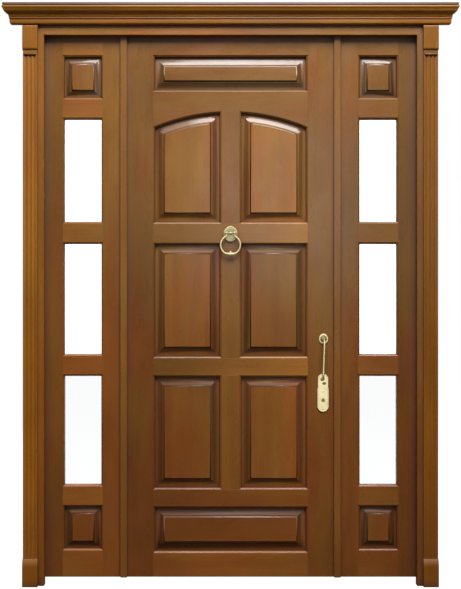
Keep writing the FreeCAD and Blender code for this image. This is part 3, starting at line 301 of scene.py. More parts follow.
LEVER_GRIP = (              # share of the grip's length, and its half height and half depth
    (0.02, 0.0088, 0.0060), (0.2, 0.0080, 0.0056), (0.4, 0.0074, 0.0054), (0.6, 0.0076, 0.0054),
    (0.8, 0.0084, 0.0054), (0.92, 0.0082, 0.0052), (0.98, 0.0060, 0.0040), (1.0, 0.0020, 0.0015),
)
SCREW_STATIONS = (          # share of the radius, and share of the radius over the surface
    (1.0, 0.0), (0.96, 0.10), (0.82, 0.20), (0.5, 0.29), (0.0, 0.32),
)

# Hinges
HINGE_TIP_STATIONS = (      # radius, and height over the knuckle
    (0.0052, -0.0002), (0.0058, 0.0010), (0.0050, 0.0024), (0.0036, 0.0032), (0.0044, 0.0046),
    (0.0046, 0.0062), (0.0032, 0.0080), (0.0, 0.0086),
)

# Bead under a capital block
BEAD_DROP = 0.0175
BEAD_INSET = 0.0030
# The bead's low tones are painted shade under the capital block
BEAD_SHADE_TONES = (0.38, 0.38)
BEAD_HALF_HEIGHT = 0.0052
BEAD_PROUD = 0.0062
BEAD_STATIONS = (           # share of the half length, and share of the full section
    (-1.0, 0.10), (-0.985, 0.45), (-0.95, 0.74), (-0.89, 0.94), (-0.82, 1.0), (0.0, 1.0),
    (0.82, 1.0), (0.89, 0.94), (0.95, 0.74), (0.985, 0.45), (1.0, 0.10),
)

FRONT = Vector((0.0, -1.0, 0.0))
BACK = Vector((0.0, 1.0, 0.0))
RIGHT = Vector((1.0, 0.0, 0.0))
UP = Vector((0.0, 0.0, 1.0))


# Shader helpers

class Tree:
    """Short ways to add and join nodes in one node tree."""

    def __init__(self, tree):
        self.tree = tree
        self.nodes = tree.nodes
        self.links = tree.links

    def add(self, kind, **settings):
        """New node; settings are its properties."""
        node = self.nodes.new(kind)
        for key, value in settings.items():
            setattr(node, key, value)
        return node

    def feed(self, socket, value):
        """Link a socket's output into another, or set a plain value."""
        if isinstance(value, bpy.types.NodeSocket):
            self.links.new(value, socket)
        else:
            socket.default_value = value

    def math(self, operation, *values, clamp=False):
        """Math node's result."""
        node = self.add("ShaderNodeMath", operation=operation, use_clamp=clamp)
        for socket, value in zip(node.inputs, values):
            self.feed(socket, value)
        return node.outputs[0]

    def vector_math(self, operation, *values):
        """Vector math node's result."""
        node = self.add("ShaderNodeVectorMath", operation=operation)
        for socket, value in zip(node.inputs, values):
            self.feed(socket, value)
        return node.outputs["Value" if operation in ("DISTANCE", "LENGTH") else "Vector"]

    def coordinate(self, kind):
        """Texture coordinate of a kind: Object, Normal or Generated."""
        return self.add("ShaderNodeTexCoord").outputs[kind]

    def axes(self, vector):
        """The three parts of a vector."""
        node = self.add("ShaderNodeSeparateXYZ")
        self.feed(node.inputs[0], vector)
        return node.outputs

    def noise(self, vector, scale, detail, rough, distortion=0.0):
        """Noise from 0 to 1."""
        node = self.add("ShaderNodeTexNoise")
        self.feed(node.inputs["Vector"], vector)
        node.inputs["Scale"].default_value = scale
        node.inputs["Detail"].default_value = detail
        node.inputs["Roughness"].default_value = rough
        node.inputs["Distortion"].default_value = distortion
        return node.outputs["Fac"]

    def spread(self, value, low, high, to_low=0.0, to_high=1.0):
        """Value moved from one range to another, smooth and clamped."""
        node = self.add("ShaderNodeMapRange", interpolation_type="SMOOTHSTEP")
        self.feed(node.inputs["Value"], value)
        node.inputs["From Min"].default_value = low
        node.inputs["From Max"].default_value = high
        node.inputs["To Min"].default_value = to_low
        node.inputs["To Max"].default_value = to_high
        return node.outputs["Result"]

    def blend(self, amount, first, second):
        """Two colours mixed; the node's colour sockets are picked by their kind."""
        node = self.add("ShaderNodeMix", data_type="RGBA")
        self.feed(node.inputs[0], amount)
        low, high = [socket for socket in node.inputs if socket.type == "RGBA"]
        self.feed(low, first)
        self.feed(high, second)
        return [socket for socket in node.outputs if socket.type == "RGBA"][0]

    def grey(self, value):
        """The same value on all three axes of a vector."""
        joined = self.add("ShaderNodeCombineXYZ")
        for socket in joined.inputs:
            self.feed(socket, value)
        return joined.outputs[0]


def empty_tree(owner):
    """The tree of a material or world, with nothing in it."""
    owner.use_nodes = True
    owner.node_tree.nodes.clear()
    return Tree(owner.node_tree)


def new_material(name):
    """Material with its shader and output."""
    material = bpy.data.materials.new(name)
    tree = empty_tree(material)
    shader = tree.add("ShaderNodeBsdfPrincipled")
    output = tree.add("ShaderNodeOutputMaterial")
    tree.links.new(shader.outputs[0], output.inputs["Surface"])
    return material, tree, shader


# Wood

def grain_place(tree, along, seed):
    """Object place turned so that the grain runs along Z, and moved by seed."""
    parts = tree.axes(tree.coordinate("Object"))
    joined = tree.add("ShaderNodeCombineXYZ")
    for target, source in enumerate(GRAIN_ORDER[along]):
        tree.links.new(parts[source], joined.inputs[target])
    shift = [step * seed for step in GRAIN_SHIFT]
    return tree.vector_math("ADD", joined.outputs[0], shift)


def wood_figure(tree, place):
    """Growth rings, fibres and pores of one board, each from 0 to 1."""
    long_place = tree.vector_math("MULTIPLY", place, (1.0, 1.0, 0.14))
    drift = tree.noise(long_place, 5.0, 2.0, 0.45, 0.3)
    rings = tree.math("MULTIPLY", drift, GROWTH_RINGS)
    rings = tree.math("PINGPONG", rings, 1.0)
    rings = tree.spread(rings, 0.05, 0.95)
    fibre_place = tree.vector_math("MULTIPLY", place, (1.0, 1.0, 0.025))
    fibres = tree.noise(fibre_place, 260.0, 4.0, 0.6)
    pore_place = tree.vector_math("MULTIPLY", place, (1.0, 1.0, 0.05))
    pores = tree.noise(pore_place, 620.0, 2.0, 0.5)
    pores = tree.spread(pores, 0.60, 0.72)
    return rings, fibres, pores


def wood_colour(tree, node, place, figure, colours, tones):
    """Colour of one board, before the painted shade on its slopes and in its crevices."""
    olive, red, dark = colours
    rings, fibres, pores = figure
    across = tree.axes(tree.coordinate("Object"))
    wide_place = tree.vector_math("MULTIPLY", place, (1.0, 1.0, 0.22))
    drift = tree.spread(across["Z"], RED_BELOW, OLIVE_ABOVE, *HUE_DRIFT)
    hue = tree.spread(tree.noise(wide_place, 9.0, 2.0, 0.5), 0.32, 0.68)
    colour = tree.blend(tree.math("ADD", hue, drift, clamp=True), olive, red)
    colour = tree.blend(tree.math("MULTIPLY", rings, RING_SHARE), colour, dark)
    colour = tree.blend(tree.spread(fibres, 0.45, 0.75, 0.0, FIBRE_SHARE), colour, dark)
    colour = tree.blend(tree.math("MULTIPLY", pores, PORE_SHARE), colour, dark)
    left, right = [corner[0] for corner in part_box(node)]
    tone = tree.spread(across["X"], left, right, *tones)
    cloud = tree.spread(tree.noise(place, 2.6, 2.0, 0.5), 0.3, 0.7, *CLOUD_RANGE)
    return tree.vector_math("MULTIPLY", colour, tree.grey(tree.math("MULTIPLY", cloud, tone)))


def painted_slope_shade(tree, lean, upwards):
    """Painted shade: brightness left on a panel's slopes, by the way they look."""
    flat, steep = SLOPE_RANGE
    aside = tree.spread(tree.math("ABSOLUTE", lean["X"]), flat, steep, 1.0, SLOPE_ASIDE)
    under = tree.spread(lean["Z"], -steep, -flat, SLOPE_UNDER, 1.0)
    over = tree.math("MULTIPLY_ADD", upwards, SLOPE_OVER - 1.0, 1.0)
    return tree.math("MULTIPLY", tree.math("MULTIPLY", aside, under), over)


def wood(node, along, seed, colours, tones):
    """Satin varnished hardwood, with its grain along one axis.

    The tones are the board's brightness at its left and right edges, partly painted light.
    """
    material, tree, shader = new_material("wood_" + node)
    place = grain_place(tree, along, seed)
    figure = wood_figure(tree, place)
    colour = wood_colour(tree, node, place, figure, colours, tones)
    lean = tree.axes(tree.coordinate("Normal"))
    upwards = tree.spread(lean["Z"], *SLOPE_RANGE)
    coat_slope = COAT_OTHER_SLOPE
    if "panel" in node:
        coat_slope = COAT_PANEL_SLOPE
        # Painted shade: the panel's slopes are darkened by the way they look
        slope_shade = painted_slope_shade(tree, lean, upwards)
        colour = tree.vector_math("MULTIPLY", colour, tree.grey(slope_shade))

    # Painted shade: the colour turns darker and redder in crevices and recesses, where shade falls
    crevice = tree.add("ShaderNodeAmbientOcclusion", samples=8, only_local=False)
    crevice.inputs["Distance"].default_value = CREVICE_REACH
    crevice_shade_colour = tree.vector_math("MULTIPLY", colour, CREVICE_SHADE_TINT)
    shade = tree.spread(crevice.outputs["AO"], *CREVICE_RANGE)
    tree.links.new(tree.blend(shade, crevice_shade_colour, colour), shader.inputs["Base Color"])

    smears = tree.noise(tree.vector_math("MULTIPLY", place, (1.0, 1.0, 0.5)), 14.0, 3.0, 0.6)
    rough = tree.spread(smears, 0.3, 0.7, *VARNISH_ROUGHNESS)
    dusty = tree.math("MULTIPLY_ADD", shade, -CREVICE_ROUGHNESS, CREVICE_ROUGHNESS)
    rough = tree.math("ADD", rough, tree.math("MULTIPLY", upwards, SLOPE_ROUGHNESS))
    tree.links.new(tree.math("ADD", rough, dusty), shader.inputs["Roughness"])
    shader.inputs["Specular IOR Level"].default_value = 0.5
    coat = tree.spread(upwards, 0.0, 1.0, COAT_PLAIN, coat_slope)
    tree.links.new(coat, shader.inputs["Coat Weight"])
    shader.inputs["Coat Roughness"].default_value = COAT_ROUGHNESS

    fibres, pores = figure[1:]
    relief = tree.math("ADD", tree.math("MULTIPLY", fibres, 0.5), tree.math("MULTIPLY", pores, -0.8))
    normal = rounded_bump(tree, relief, 0.25, 0.0003, ARRIS_RADIUS)
    tree.links.new(normal, shader.inputs["Normal"])
    return material


def rounded_bump(tree, height, strength, distance, radius):
    """Normal of a surface with a fine relief and slightly rounded edges."""
    bump = tree.add("ShaderNodeBump")
    bump.inputs["Strength"].default_value = strength
    bump.inputs["Distance"].default_value = distance
    tree.links.new(height, bump.inputs["Height"])
    arris = tree.add("ShaderNodeBevel", samples=6)
    arris.inputs["Radius"].default_value = radius
    tree.links.new(arris.outputs[0], bump.inputs["Normal"])
    return bump.outputs[0]


# Brass and glass

def shaded_field(tree, middle, radius, ratio):
    """Painted shade on a rose's field, from none to its full share."""
    place = tree.coordinate("Object")
    away = tree.vector_math("SUBTRACT", place, middle)
    away = tree.vector_math("MULTIPLY", away, (1.0, 0.0, 1.0 / ratio))
    distance = tree.vector_math("LENGTH", away)
    start, end = [radius * share for share in FIELD_EDGE]
    inside = tree.spread(distance, start, end, FIELD_SHADE, 0.0)
    front, rear = [middle.y - height for height in FIELD_DEPTH]
    flat = tree.spread(tree.axes(place)["Y"], front, rear)
    return tree.math("MULTIPLY", inside, flat)


def brass(name, seed, bright=BRASS, dull=BRASS_DULL, field=None):
    """Lacquered brass, duller in its hollows, partly tarnished and partly painted shade, and lightly
    rubbed.

    A field is a middle point, a radius and a ratio of height to width: within it the brass is duller,
    as painted shade.
    """
    material, tree, shader = new_material(name)
    place = tree.vector_math("ADD", tree.coordinate("Object"), [step * seed for step in BRASS_SHIFT])
    patches = tree.noise(place, 55.0, 4.0, 0.6)
    scratches = tree.noise(tree.vector_math("MULTIPLY", place, (1.0, 1.0, 0.12)), 900.0, 2.0, 0.5)
    crevice = tree.add("ShaderNodeAmbientOcclusion", samples=8, only_local=True)
    crevice.inputs["Distance"].default_value = HOLLOW_REACH
    # Painted shade, with tarnishing: duller brass in the hollows
    hollow_shade = tree.spread(crevice.outputs["AO"], 0.25, 0.70, HOLLOW_SHADE_AND_TARNISH, 0.0)
    tarnish_and_shade = tree.spread(patches, 0.5, 0.8, 0.0, PATCH_TARNISH)
    tarnish_and_shade = tree.math("MAXIMUM", hollow_shade, tarnish_and_shade)
    # Painted shade on a rose's flat field
    if field:
        tarnish_and_shade = tree.math("MAXIMUM", tarnish_and_shade, shaded_field(tree, *field))
    if bright == dull:
        shader.inputs["Base Color"].default_value = bright
    else:
        tree.links.new(tree.blend(tarnish_and_shade, bright, dull), shader.inputs["Base Color"])
    shader.inputs["Metallic"].default_value = BRASS_METALLIC
    rough = tree.spread(patches, 0.3, 0.8, *BRASS_ROUGHNESS)
    rough = tree.math("ADD", rough, tree.math("MULTIPLY", scratches, 0.05))
    rough = tree.math("MULTIPLY_ADD", tarnish_and_shade, TARNISH_ROUGHNESS, rough)
    tree.links.new(rough, shader.inputs["Roughness"])
    shader.inputs["Coat Weight"].default_value = 0.3
    shader.inputs["Coat Roughness"].default_value = 0.10
    normal = rounded_bump(tree, scratches, 0.12, 0.0002, BRASS_ARRIS_RADIUS)
    tree.links.new(normal, shader.inputs["Normal"])
    return material


def clear_glass(name):
    """Clear float glass with a faint waviness and a few smears."""
    material, tree, shader = new_material(name)
    place = tree.coordinate("Object")
    shader.inputs["Base Color"].default_value = GLASS
    shader.inputs["Transmission Weight"].default_value = 1.0
    shader.inputs["IOR"].default_value = 1.45
    smears = tree.noise(place, 7.0, 4.0, 0.6)
    tree.links.new(tree.spread(smears, 0.55, 0.8, 0.0, 0.04), shader.inputs["Roughness"])
    bump = tree.add("ShaderNodeBump")
    bump.inputs["Strength"].default_value = 0.05
    bump.inputs["Distance"].default_value = 0.0004
    tree.links.new(tree.noise(place, 5.0, 1.0, 0.4), bump.inputs["Height"])
    tree.links.new(bump.outputs[0], shader.inputs["Normal"])
    return material


# Smooth shading of the mouldings' flats

def smoothing_group():
    """Geometry nodes that join a mesh's vertices and smooth its slight edges."""
    group = bpy.data.node_groups.new("soften_flats", "GeometryNodeTree")
    group.interface.new_socket("Geometry", in_out="INPUT", socket_type="NodeSocketGeometry")
    group.interface.new_socket("Geometry", in_out="OUTPUT", socket_type="NodeSocketGeometry")
    start = group.nodes.new("NodeGroupInput")
    end = group.nodes.new("NodeGroupOutput")
    weld = group.nodes.new("GeometryNodeMergeByDistance")
    weld.inputs["Distance"].default_value = MERGE_DISTANCE
    smooth = group.nodes.new("GeometryNodeSetShadeSmooth")
    smooth.domain = "FACE"
    angle = group.nodes.new("GeometryNodeInputMeshEdgeAngle")
    steep = group.nodes.new("FunctionNodeCompare")
    steep.data_type = "FLOAT"
    steep.operation = "GREATER_THAN"
    steep.inputs[1].default_value = SMOOTH_ANGLE
    crease = group.nodes.new("GeometryNodeSetShadeSmooth")
    crease.domain = "EDGE"
    crease.inputs["Shade Smooth"].default_value = False
    group.links.new(start.outputs[0], weld.inputs["Geometry"])
    group.links.new(weld.outputs[0], smooth.inputs["Geometry"])
    group.links.new(smooth.outputs[0], crease.inputs["Geometry"])
    group.links.new(angle.outputs["Unsigned Angle"], steep.inputs[0])
    group.links.new(steep.outputs[0], crease.inputs["Selection"])
    group.links.new(crease.outputs[0], end.inputs[0])
    return group


SOFTEN = smoothing_group()


def soften(item):
    """Round shading over slight edges, with broad faces kept flat."""
    modifier = item.modifiers.new("soften", "NODES")
    modifier.node_group = SOFTEN
    weighted = item.modifiers.new("weighted", "WEIGHTED_NORMAL")
    weighted.keep_sharp = True
    weighted.weight = 50


def paint(item, material):
    """Give a CAD node its material."""
    item.data.materials.clear()
    item.data.materials.append(material)


def dress(name, material):
    """Give a CAD node its material and soft shading."""
    paint(NODES[name], material)
    soften(NODES[name])


def dress_wood():
    """A board of its own for every wooden node."""
    # The tones are partly painted light: they lift boards the lamps leave dim, such as the head jamb
    # and header board under the crown and the boards on the left, and lower those on the right
    boards = [
        ("left_jamb", "Z", GOLDEN_WOOD, (1.02, 1.02)),
        ("right_jamb", "Z", BROWN_WOOD, (0.88, 0.88)),
        ("head_jamb", "X", BROWN_WOOD, (1.3, 1.3)),
        ("left_mullion", "Z", TAWNY_WOOD, (1.08, 1.08)),
        ("right_mullion", "Z", TAWNY_WOOD, (1.02, 1.02)),
        ("left_casing", "Z", GOLDEN_WOOD, (1.23, 1.23)),
        ("right_casing", "Z", GOLDEN_WOOD, (0.92, 0.92)),
        ("left_plinth_block", "Z", GOLDEN_WOOD, (1.06, 1.06)),
        ("right_plinth_block", "Z", GOLDEN_WOOD, (0.94, 0.94)),
        ("left_capital_block", "Z", GOLDEN_WOOD, (1.06, 1.06)),
        ("right_capital_block", "Z", GOLDEN_WOOD, (0.94, 0.94)),
        ("header_board", "X", BROWN_WOOD, (1.35, 1.35)),
        ("crown_front", "X", GOLDEN_WOOD, (0.98, 0.98)),
        ("crown_returns", "Y", GOLDEN_WOOD, (0.98, 0.98)),
        ("crown_cap", "X", GOLDEN_WOOD, (0.26, 0.26)),
        ("door_hinge_stile", "Z", BROWN_WOOD, (0.81, 0.81)),
        ("door_latch_stile", "Z", BROWN_WOOD, (0.95, 0.95)),
        ("door_top_rail", "X", BROWN_WOOD, (0.93, 1.07)),
        ("door_arched_rail", "X", BROWN_WOOD, (0.82, 1.05)),
        ("door_knocker_rail", "X", OLIVE_WOOD, (0.93, 1.51)),
        ("door_middle_rail", "X", TAWNY_WOOD, (0.76, 1.61)),
        ("door_lock_rail", "X", BROWN_WOOD, (0.87, 1.11)),
        ("door_bottom_rail", "X", BROWN_WOOD, (1.22, 1.32)),
        ("door_muntins", "Z", TAWNY_WOOD, (1.08, 1.05)),
        ("door_top_panel", "X", BROWN_WOOD, (0.87, 0.99)),
        ("door_upper_panels", "Z", BROWN_WOOD, (1.19, 1.49)),
        ("door_middle_panels", "Z", BROWN_WOOD, (1.09, 1.07)),
        ("door_lower_panels", "Z", BROWN_WOOD, (0.99, 1.3)),
        ("door_bottom_panel", "X", BROWN_WOOD, (0.82, 0.97)),
        ("left_sidelight_stiles", "Z", BROWN_WOOD, (0.81, 1.1)),
        ("left_sidelight_rails", "X", BROWN_WOOD, (1.23, 1.27)),
        ("left_sidelight_panels", "Z", BROWN_WOOD, (1.06, 1.06)),
        ("left_sidelight_beads", "Z", BROWN_WOOD, (0.85, 0.85)),
        ("right_sidelight_stiles", "Z", BROWN_WOOD, (0.92, 0.71)),
        ("right_sidelight_rails", "X", BROWN_WOOD, (1.05, 1.0)),
        ("right_sidelight_panels", "Z", BROWN_WOOD, (0.94, 0.94)),
        ("right_sidelight_beads", "Z", BROWN_WOOD, (0.75, 0.75)),
    ]
    for seed, (name, along, colours, tones) in enumerate(boards, start=1):
        dress(name, wood(name, along, seed, colours, tones))


def dress_metal_and_glass():
    """Brass on the fittings that keep their CAD shape, and glass in the sidelights."""
    for seed, name in enumerate(PLAIN_FITTINGS, start=1):
        dress(name, brass("brass_" + name, seed))
        LIT_BRASS.append(NODES[name])
    glass = clear_glass("clear_glass_panes")
    for side in ("left", "right"):
        paint(NODES[side + "_sidelight_glass"], glass)


# Pieces in mesh code

def join_loops(shape, loops):
    """Faces between closed loops of vertices that lie side by side."""
    for first, second in zip(loops, loops[1:]):
        count = len(first)
        for index in range(count):
            after = (index + 1) % count
            corners = [first[index], first[after], second[after], second[index]]
            unlike = list(dict.fromkeys(corners))
            if len(unlike) > 2:
                shape.faces.new(unlike)


def turned(shape, origin, axis, stations, count, wide=1.0, tall=1.0):
    """Turned form about an axis: stations give a radius and a height along the axis.

    Wide and tall stretch the form across the axis, level and upright.
    """
    upright = UP if abs(axis.z) < 0.5 else BACK
    level = upright.cross(axis).normalized()
    loops = []
    for radius, height in stations:
        middle = origin + axis * height
        if radius == 0.0:
            loops.append([shape.verts.new(middle)] * count)
            continue
        loop = []
        for index in range(count):
            angle = 2 * math.pi * index / count
            across = level * (math.cos(angle) * radius * wide)
            along = upright * (math.sin(angle) * radius * tall)
            loop.append(shape.verts.new(middle + (across + along)))
        loops.append(loop)
    join_loops(shape, loops)


def bar(shape, path, side, sizes, count=20):
    """Bar of oval section along a path; sizes are half widths along side and across it."""
    last = len(path) - 1
    loops = []
    for index, middle in enumerate(path):
        before = path[max(index - 1, 0)]
        after = path[min(index + 1, last)]
        normal = (after - before).normalized().cross(side).normalized()
        along_side, across = sizes[index]
        loop = []
        for step in range(count):
            angle = 2 * math.pi * step / count
            loop.append(shape.verts.new(
                middle + side * (math.cos(angle) * along_side) + normal * (math.sin(angle) * across)
            ))
        loops.append(loop)
    shape.faces.new(loops[0])
    shape.faces.new(loops[-1])
    join_loops(shape, loops)


def arc(centre, first, second, radius, start, end, count):
    """Points on an arc in the plane of two directions."""
    points = []
    for index in range(count):
        angle = start + (end - start) * index / (count - 1)
        points.append(centre + (first * math.cos(angle) + second * math.sin(angle)) * radius)
    return points


def add_piece(name, shape, body, material, *replaced, slot="brass"):
    """Put a finished shape in the scene, riding on a body."""
    bmesh.ops.recalc_face_normals(shape, faces=shape.faces)
    mesh = bpy.data.meshes.new(name)
    shape.to_mesh(mesh)
    shape.free()
    mesh.materials.append(material)
    item = bpy.data.objects.new(name, mesh)
    bpy.context.scene.collection.objects.link(item)
    soften(item)
    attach(item, body)
    if replaced:
        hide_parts(*replaced)
    if slot == "brass":
        LIT_BRASS.append(item)


def screw(shape, place, axis, radius=0.0035):
    """Low round screw head."""
    stations = [(share * radius, rise * radius) for share, rise in SCREW_STATIONS]
    turned(shape, place, axis, stations, count=16)


# Knocker

def make_rose():
    """Oval rose with a rolled rim and a shallow dish, and a lug with a pin."""
    low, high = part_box("knocker_rose")
    half_width = (high[0] - low[0]) / 2
    half_height = (high[2] - low[2]) / 2
    middle = Vector((DOOR_CENTRE, high[1], (low[2] + high[2]) / 2))
    shape = bmesh.new()
    turned(shape, middle, FRONT, ROSE_STATIONS, 64, half_width, half_height)
    reach = KNUCKLE_PLACE + PIN_OVERHANG
    pin = [PIN_PLACE + RIGHT * x for x in (-reach, 0.0, reach)]
    bar(shape, pin, UP, [(PIN_RADIUS, PIN_RADIUS)] * len(pin))
    for side in (-1, 1):
        place = PIN_PLACE + RIGHT * (side * (reach - PIN_TIP_INSET))
        turned(shape, place, RIGHT * side, PIN_TIP_STATIONS, 20)
    turned(shape, PIN_PLACE, RIGHT, LUG_STATIONS, 28)
    bar(shape, [PIN_PLACE + BACK * step for step in STEM_STEPS], RIGHT, STEM_SIZES, 24)
    dish = (middle - UP * DISH_DROP, half_width * DISH_SHARE, half_height / half_width)
    material = brass("brass_rose", 20, field=dish)
    add_piece("rose_of_knocker", shape, "door_leaf", material, "knocker_rose")


def ring_section(swell):
    """Half widths of the ring's section, through it and across it."""
    return BAR_RADIUS + (swell - BAR_RADIUS) * SWELL_DEPTH, swell


def make_ring():
    """Open ring, swelling at its foot to a point, its ends hung on the pin by knuckles."""
    low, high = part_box("knocker_ring")
    outer = (high[0] - low[0]) / 2
    centre = Vector((DOOR_CENTRE, PIN_PLACE.y, PIN_PLACE.z - RING_DROP))
    path = []
    sizes = []
    for side in (-1, 1):
        half = [PIN_PLACE + RIGHT * (side * (KNUCKLE_PLACE + beyond)) - UP * drop
                for beyond, drop in reversed(ARM_BEND)]
        widths = [(BAR_RADIUS, BAR_RADIUS)] * len(half)
        for index in range(ARM_FLATS):
            away = (math.pi - ARM_ANGLE) * (1.0 - index / ARM_FLATS)
            share = max(0.0, 1.0 - away / SWELL_HALF_ANGLE)
            growth = math.sin(math.pi / 2 * share) ** SWELL_POWER
            swell = BAR_RADIUS + (SWELL_RADIUS - BAR_RADIUS) * growth
            radius = outer - swell
            across = RIGHT * (side * math.sin(away) * radius)
            half.append(centre + across - UP * (math.cos(away) * radius))
            widths.append(ring_section(swell))
        if side < 0:
            path += half
            sizes += widths
        else:
            path.append(centre - UP * (outer - SWELL_RADIUS))
            sizes.append(ring_section(SWELL_RADIUS))
            path += reversed(half)
            sizes += reversed(widths)
    shape = bmesh.new()
    bar(shape, path, FRONT, sizes)
    foot = centre - UP * (outer - SWELL_RADIUS * TIP_PLACE)
    turned(shape, foot, UP, TIP_STATIONS, 20, tall=TIP_RATIO)
    for side in (-1, 1):
        turned(shape, PIN_PLACE + RIGHT * (side * KNUCKLE_PLACE), RIGHT, KNUCKLE_STATIONS, 28)
    add_piece("ring_of_knocker", shape, "knocker_ring", brass("brass_ring", 21), "knocker_ring")


# Pull handle, plates and lever

def make_pull():
    """Turned rose and a slender round grip that leans a little."""
    low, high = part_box("pull_handle")
    centre_x = (low[0] + high[0]) / 2
    door = high[1]
    top_level, foot_level = GRIP_LEVELS
    top = Vector((centre_x + GRIP_LEAN, door, top_level))
    foot = Vector((centre_x - GRIP_LEAN, door, foot_level))
    shape = bmesh.new()
    turned(shape, top, FRONT, PULL_ROSE_STATIONS, 48, 1.0, PULL_ROSE_RATIO)
    bend_top = top + FRONT * (GRIP_STANDOFF - GRIP_BEND) - UP * GRIP_BEND
    bend_foot = foot + FRONT * (GRIP_STANDOFF - GRIP_BEND) + UP * GRIP_BEND
    start = bend_top + FRONT * GRIP_BEND
    end = bend_foot + FRONT * GRIP_BEND
    path = [top + FRONT * GRIP_ENTRY]
    path += arc(bend_top, UP, FRONT, GRIP_BEND, 0.0, math.pi / 2, 9)
    path += [start.lerp(end, share) for share in GRIP_SHARES]
    path += arc(bend_foot, FRONT, -UP, GRIP_BEND, 0.0, math.pi / 2, 9)
    path.append(foot + FRONT * GRIP_ENTRY)
    swells = [1.0] * len(path)
    swells[0] = swells[-1] = GRIP_END_SWELL
    swells[len(path) // 2] = GRIP_MIDDLE_SWELL
    sizes = [(GRIP_RADIUS * swell, GRIP_RADIUS * swell) for swell in swells]
    bar(shape, path, RIGHT, sizes, 24)
    for share in GRIP_RING_SHARES:
        place = start.lerp(end, share) - UP * GRIP_RING_DROP
        turned(shape, place, UP, GRIP_RING_STATIONS, 24)
    turned(shape, foot, FRONT, FOOT_COLLAR_STATIONS, 32)
    groove = (top, PULL_DISH_RADIUS, PULL_ROSE_RATIO)
    add_piece("pull_grip", shape, "door_leaf", brass("brass_pull", 22, field=groove), "pull_handle")


def plate_loop(shape, node, inset, depth, margin):
    """Loop of vertices round a lock plate's outline, inset; the margin is off its top."""
    low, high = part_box(node)
    centre_x = (low[0] + high[0]) / 2
    wide = (high[0] - low[0]) / 2
    narrow = PLATE_NECK / 2
    shoulder = low[2] + PLATE_SHOULDER
    foot = Vector((centre_x, depth, low[2] + wide))
    top = Vector((centre_x, depth, high[2] - narrow - margin))
    ease = inset * PLATE_EASE
    neck = shoulder + (wide - narrow) - ease
    points = arc(foot, RIGHT, -UP, wide - inset, 0.0, math.pi, PLATE_FLATS)
    points.append(Vector((centre_x - wide + inset, depth, shoulder - ease)))
    points.append(Vector((centre_x - narrow + inset, depth, neck)))
    points += arc(top, -RIGHT, UP, narrow - inset, 0.0, math.pi, PLATE_FLATS)
    points.append(Vector((centre_x + narrow - inset, depth, neck)))
    points.append(Vector((centre_x + wide - inset, depth, shoulder - ease)))
    return [shape.verts.new(point) for point in points]


def plate(shape, node, door, out, margin=0.0):
    """Lock plate with a rounded edge and a fine line inside it."""
    loops = []
    for inset, height in PLATE_EDGE:
        loops.append(plate_loop(shape, node, inset, door + out.y * height, margin))
    join_loops(shape, loops)
    shape.faces.new(loops[-1])


def keyhole(shape, middle, out):
    """Pear-shaped opening of a lock, as a thin inlay in painted shadow colour."""
    points = arc(middle + UP * KEYHOLE_RISE, RIGHT, UP, KEYHOLE_RADIUS, *KEYHOLE_SWEEP, 16)
    for x in (-KEYHOLE_HALF_FOOT, KEYHOLE_HALF_FOOT):
        points.append(middle + RIGHT * x - UP * KEYHOLE_DROP)
    front = [shape.verts.new(point + out * INLAY_OUT) for point in points]
    rear = [shape.verts.new(point - out * INLAY_IN) for point in points]
    join_loops(shape, [rear, front])
    shape.faces.new(front)
    shape.faces.new(rear)


def make_lock():
    """Front plate with its screws and cylinder, the keyhole and the spindle's opening."""
    low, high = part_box("lock_plate")
    door = high[1]
    centre_x = (low[0] + high[0]) / 2
    front = low[1]
    shape = bmesh.new()
    plate(shape, "lock_plate", door, FRONT, PLATE_TOP_MARGIN)
    for level in (low[2] + PLATE_SCREW_FOOT, low[2] + PLATE_SHOULDER - PLATE_SCREW_DROP):
        screw(shape, Vector((centre_x, front, level)), FRONT, PLATE_SCREW_RADIUS)
    spindle = Vector((centre_x + SPINDLE_ASIDE, door, SPINDLE_LEVEL))
    turned(shape, spindle, FRONT, SPINDLE_RIM_STATIONS, 28, 1.0, SPINDLE_RATIO)
    add_piece("front_lock_plate", shape, "door_leaf", brass("brass_front_plate", 23), "lock_plate")

    key = Vector((centre_x, door, KEY_LEVEL))
    shape = bmesh.new()
    turned(shape, key, FRONT, CYLINDER_STATIONS, 36)
    # Duller brass, partly painted shade that widens the dark mark round the keyhole
    material = brass("brass_cylinder", 24, CYLINDER)
    add_piece("lock_cylinder", shape, "door_leaf", material, "key_cylinder")

    # The keyhole and the spindle's opening are inlays in painted shadow colour
    shape = bmesh.new()
    keyhole(shape, key + FRONT * CYLINDER_FRONT, FRONT)
    turned(shape, spindle, FRONT, SPINDLE_FLOOR_STATIONS, 24, 1.0, SPINDLE_RATIO)
    add_piece("lock_openings", shape, "door_leaf", brass("brass_shadow", 25, SHADOW, SHADOW))


